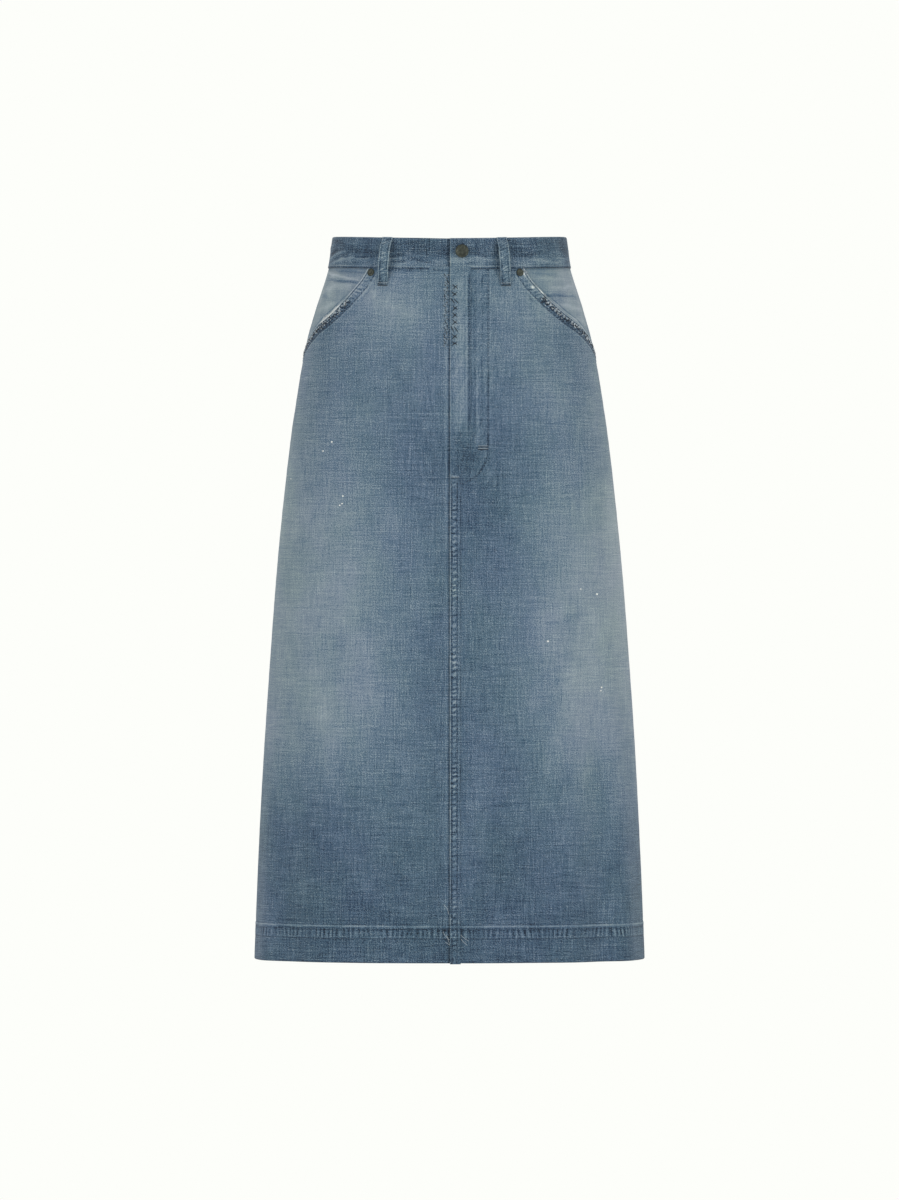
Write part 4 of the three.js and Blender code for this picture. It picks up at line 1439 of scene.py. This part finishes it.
def pocket_fray_starts(sense, count, seed, spans):
    """Places along a pocket's edge, each with a lean along it or against it."""
    random = np.random.default_rng(seed)
    for k in range(count):
        along = random.uniform(*spans[k % len(spans)])
        turn, drop = edge_point(sense, along, random.uniform(0.0, 1.2))
        turned_back = 180 if random.random() < 0.4 else 0
        yield across_at(turn, drop), drop, 0.75, 40 * sense + random.normal(0, 30) + turned_back


right_frays = pocket_fray_starts(-1, count=24, seed=31, spans=((62, 96), (66, 92)))
left_frays = pocket_fray_starts(1, count=40, seed=32, spans=((1, 8), (22, 60)))
frayed("fray_pocket_right", right_frays, white_thread, seed=41, length=(2.0, 4.0))
frayed("fray_pocket_left", left_frays, pale_thread, seed=42, length=(1.5, 3.5))
frayed("fray_seam", SEAM_FRAYS, worn_thread, seed=43, length=(13, 19), radius=0.2)

# %% Paint flecks
FLECKS = {
    "across": (-144, -156, -213, -129, -130, -133, 184, 161, 118, 190, 189),
    "drop": (246, 257, 290, 311, 320, 322, 428, 422, 484, 539, 543),
    "size": (2.4, 2.0, 1.6, 2.2, 2.0, 2.0, 3.0, 1.8, 2.6, 2.3, 1.9),
}


def paint_flecks(finish):
    bm = bmesh.new()
    for across, drop, size in rows_of(FLECKS):
        turn = turn_at(across, drop)
        sideways, _down, outward = (Vector(direction) for direction in directions(turn, drop))
        point = place(turn, drop, ripple(across, drop) + 0.35)
        add_drop(bm, point, sideways, outward, (size, size / 1.2, 0.35), 2)
    add_piece(mesh_from("paint_flecks", bm), finish)
    print("Paint flecks:", len(FLECKS["size"]))


paint_flecks(thread_material("pale_paint", (228, 230, 226), (250, 250, 246)))

# %% [markdown]
# ## What each piece stands for
# Each piece hides the CAD node that it stands for. The flat size of each sheet before it was sewn is
# listed, and its area is measured on the cloth itself.

# %% Replace the CAD solids
STANDS_FOR = {name + "_cloth": name for name in (*PANELS, "waistband")}
STANDS_FOR.update({
    "facing_left_cloth": "pocket_facing_left",
    "facing_right_cloth": "pocket_facing_right",
    "fly_button": "button",
    "pocket_rivet_left": "rivet_left",
    "pocket_rivet_right": "rivet_right",
})
STANDS_FOR.update({"loop_" + name: "belt_loop_" + name for name in LOOPS})
for piece, node in STANDS_FOR.items():
    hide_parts(node)
print("Replaced nodes:", len(STANDS_FOR), "of", len(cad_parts))

SHEETS = {
    "waistband_cloth": (0.79, 0.08, ["waistband_stitches"]),
    "front_left_cloth": (
        0.31, 0.84, ["hem_front_left", "fly_cloth", "front_seam_strip", "pocket_band_left", "paint_flecks"],
    ),
    "front_right_cloth": (0.31, 0.84, ["hem_front_right", "pocket_band_right"]),
    "back_left_cloth": (0.31, 0.84, ["hem_back_left", "back_seam_strip"]),
    "back_right_cloth": (0.31, 0.84, ["hem_back_right"]),
    "facing_left_cloth": (0.19, 0.13, []),
    "facing_right_cloth": (0.19, 0.13, []),
}
SHEETS.update({"loop_" + name: (0.0128, 0.076, []) for name in LOOPS})


def cut(name, width, length, extras):
    """Prints a sheet's flat size in metres, and the area of its cloth."""
    piece, band = made[name], made["waistband_cloth"]
    area = round(sum(face.area for face in piece.data.polygons), 6)
    sewn_on = [made[extra] for extra in extras]
    print(name, "was cut", width, "by", length, "m, area", area)


for name, (width, length, extras) in SHEETS.items():
    cut(name, width, length, extras)

# %% [markdown]
# ## Camera, light and floor
# The photograph was taken from the front at half the skirt's height with a long lens, in even light on
# white. Large soft lights stand all round, a little stronger at the front corners, so the sides keep
# their brightness and the back isn't left flat.

# %% Camera
CAMERA_DISTANCE = 9.0
PICTURE_CENTRE = -0.4165
LENS = 225
SENSOR = 36
camera_data = bpy.data.cameras.new("camera")
camera_data.lens = LENS
camera_data.sensor_width = SENSOR
camera = bpy.data.objects.new("camera", camera_data)
camera.location = (0, -CAMERA_DISTANCE, PICTURE_CENTRE)
camera.rotation_euler = (math.radians(90), 0, 0)
bpy.context.scene.collection.objects.link(camera)
bpy.context.scene.camera = camera
print("The camera is", CAMERA_DISTANCE, "m in front, with a", LENS, "mm lens")

# %% Soft lights
# Place in metres, power in watts, and width in metres
LIGHTS = {
    "front_left_light": ((2.3, -2.6, 0.5), 34, 1.8),
    "front_right_light": ((-2.3, -2.6, 0.5), 30, 1.8),
    "low_front_light": ((0, -3.6, -0.6), 14, 1.8),
    "back_left_light": ((2.4, 2.4, 0.4), 26, 1.8),
    "back_right_light": ((-2.4, 2.4, 0.4), 26, 1.8),
    "top_light": ((0, 0, 2.6), 12, 2.2),
}
LIGHT_AIM = Vector((0, 0, -0.4))


def soft_light(name, where, watts, size):
    light = bpy.data.lights.new(name, "AREA")
    light.shape = "SQUARE"
    light.size = size
    light.energy = watts
    lamp = bpy.data.objects.new(name, light)
    lamp.location = where
    lamp.rotation_euler = (LIGHT_AIM - Vector(where)).to_track_quat("-Z", "Y").to_euler()
    bpy.context.scene.collection.objects.link(lamp)


for name, (where, watts, size) in LIGHTS.items():
    soft_light(name, where, watts, size)
print("Soft lights:", len(LIGHTS))

# %% World and floor
PAPER_WHITE = (0.982, 0.991, 0.956, 1)
FLOOR_WHITE = (0.86, 0.87, 0.85, 1)
FLOOR_LEVEL = -1.3
FLOOR_HALF = 30
AMBIENT = 0.42


def white_world():
    """Off-white behind the skirt, and a weaker even light on it."""
    world = bpy.data.worlds.new("studio")
    world.use_nodes = True
    tree = world.node_tree
    background = tree.nodes["Background"]
    background.inputs["Color"].default_value = PAPER_WHITE
    seen = add_node(tree, "LightPath").outputs["Is Camera Ray"]
    strength = math_node(tree, "MULTIPLY_ADD", seen, 1 - AMBIENT, AMBIENT)
    tree.links.new(strength, background.inputs["Strength"])
    bpy.context.scene.world = world


def pale_floor():
    """A white floor that throws light back up, and that a view from below looks through."""
    bm = bmesh.new()
    bmesh.ops.create_grid(bm, x_segments=2, y_segments=2, size=FLOOR_HALF)
    bmesh.ops.translate(bm, verts=bm.verts, vec=(0, 0, FLOOR_LEVEL))
    mesh = mesh_from("studio_floor", bm)
    material, tree, shader = new_material("studio_white", {"Roughness": 0.9, "Base Color": FLOOR_WHITE})
    paper = add_node(tree, "Emission", {"Color": PAPER_WHITE}).outputs[0]
    seen = add_node(tree, "LightPath").outputs["Is Camera Ray"]
    upper_side = add_node(tree, "MixShader", {0: seen, 1: shader.outputs[0], 2: paper}).outputs[0]
    from_below = add_node(tree, "NewGeometry").outputs["Backfacing"]
    clear = add_node(tree, "BsdfTransparent").outputs[0]
    both_sides = add_node(tree, "MixShader", {0: from_below, 1: upper_side, 2: clear}).outputs[0]
    tree.links.new(both_sides, tree.nodes["Material Output"].inputs["Surface"])
    mesh.materials.append(material)
    floor = bpy.data.objects.new("studio_floor", mesh)
    bpy.context.scene.collection.objects.link(floor)
    floor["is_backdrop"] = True


white_world()
pale_floor()
bpy.context.scene.view_settings.view_transform = "Standard"

# %% [markdown]
# ## Size of the finish
# The boxes round the CAD model and round the visual model are printed. The visual model may stand only
# a little proud of the CAD model.

# %% Finish
visual_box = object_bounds()
boxes = {"cad": [list(corner) for corner in cad_box], "visual": [list(corner) for corner in visual_box]}
print("CAD box", boxes["cad"])
print("Visual box", boxes["visual"])
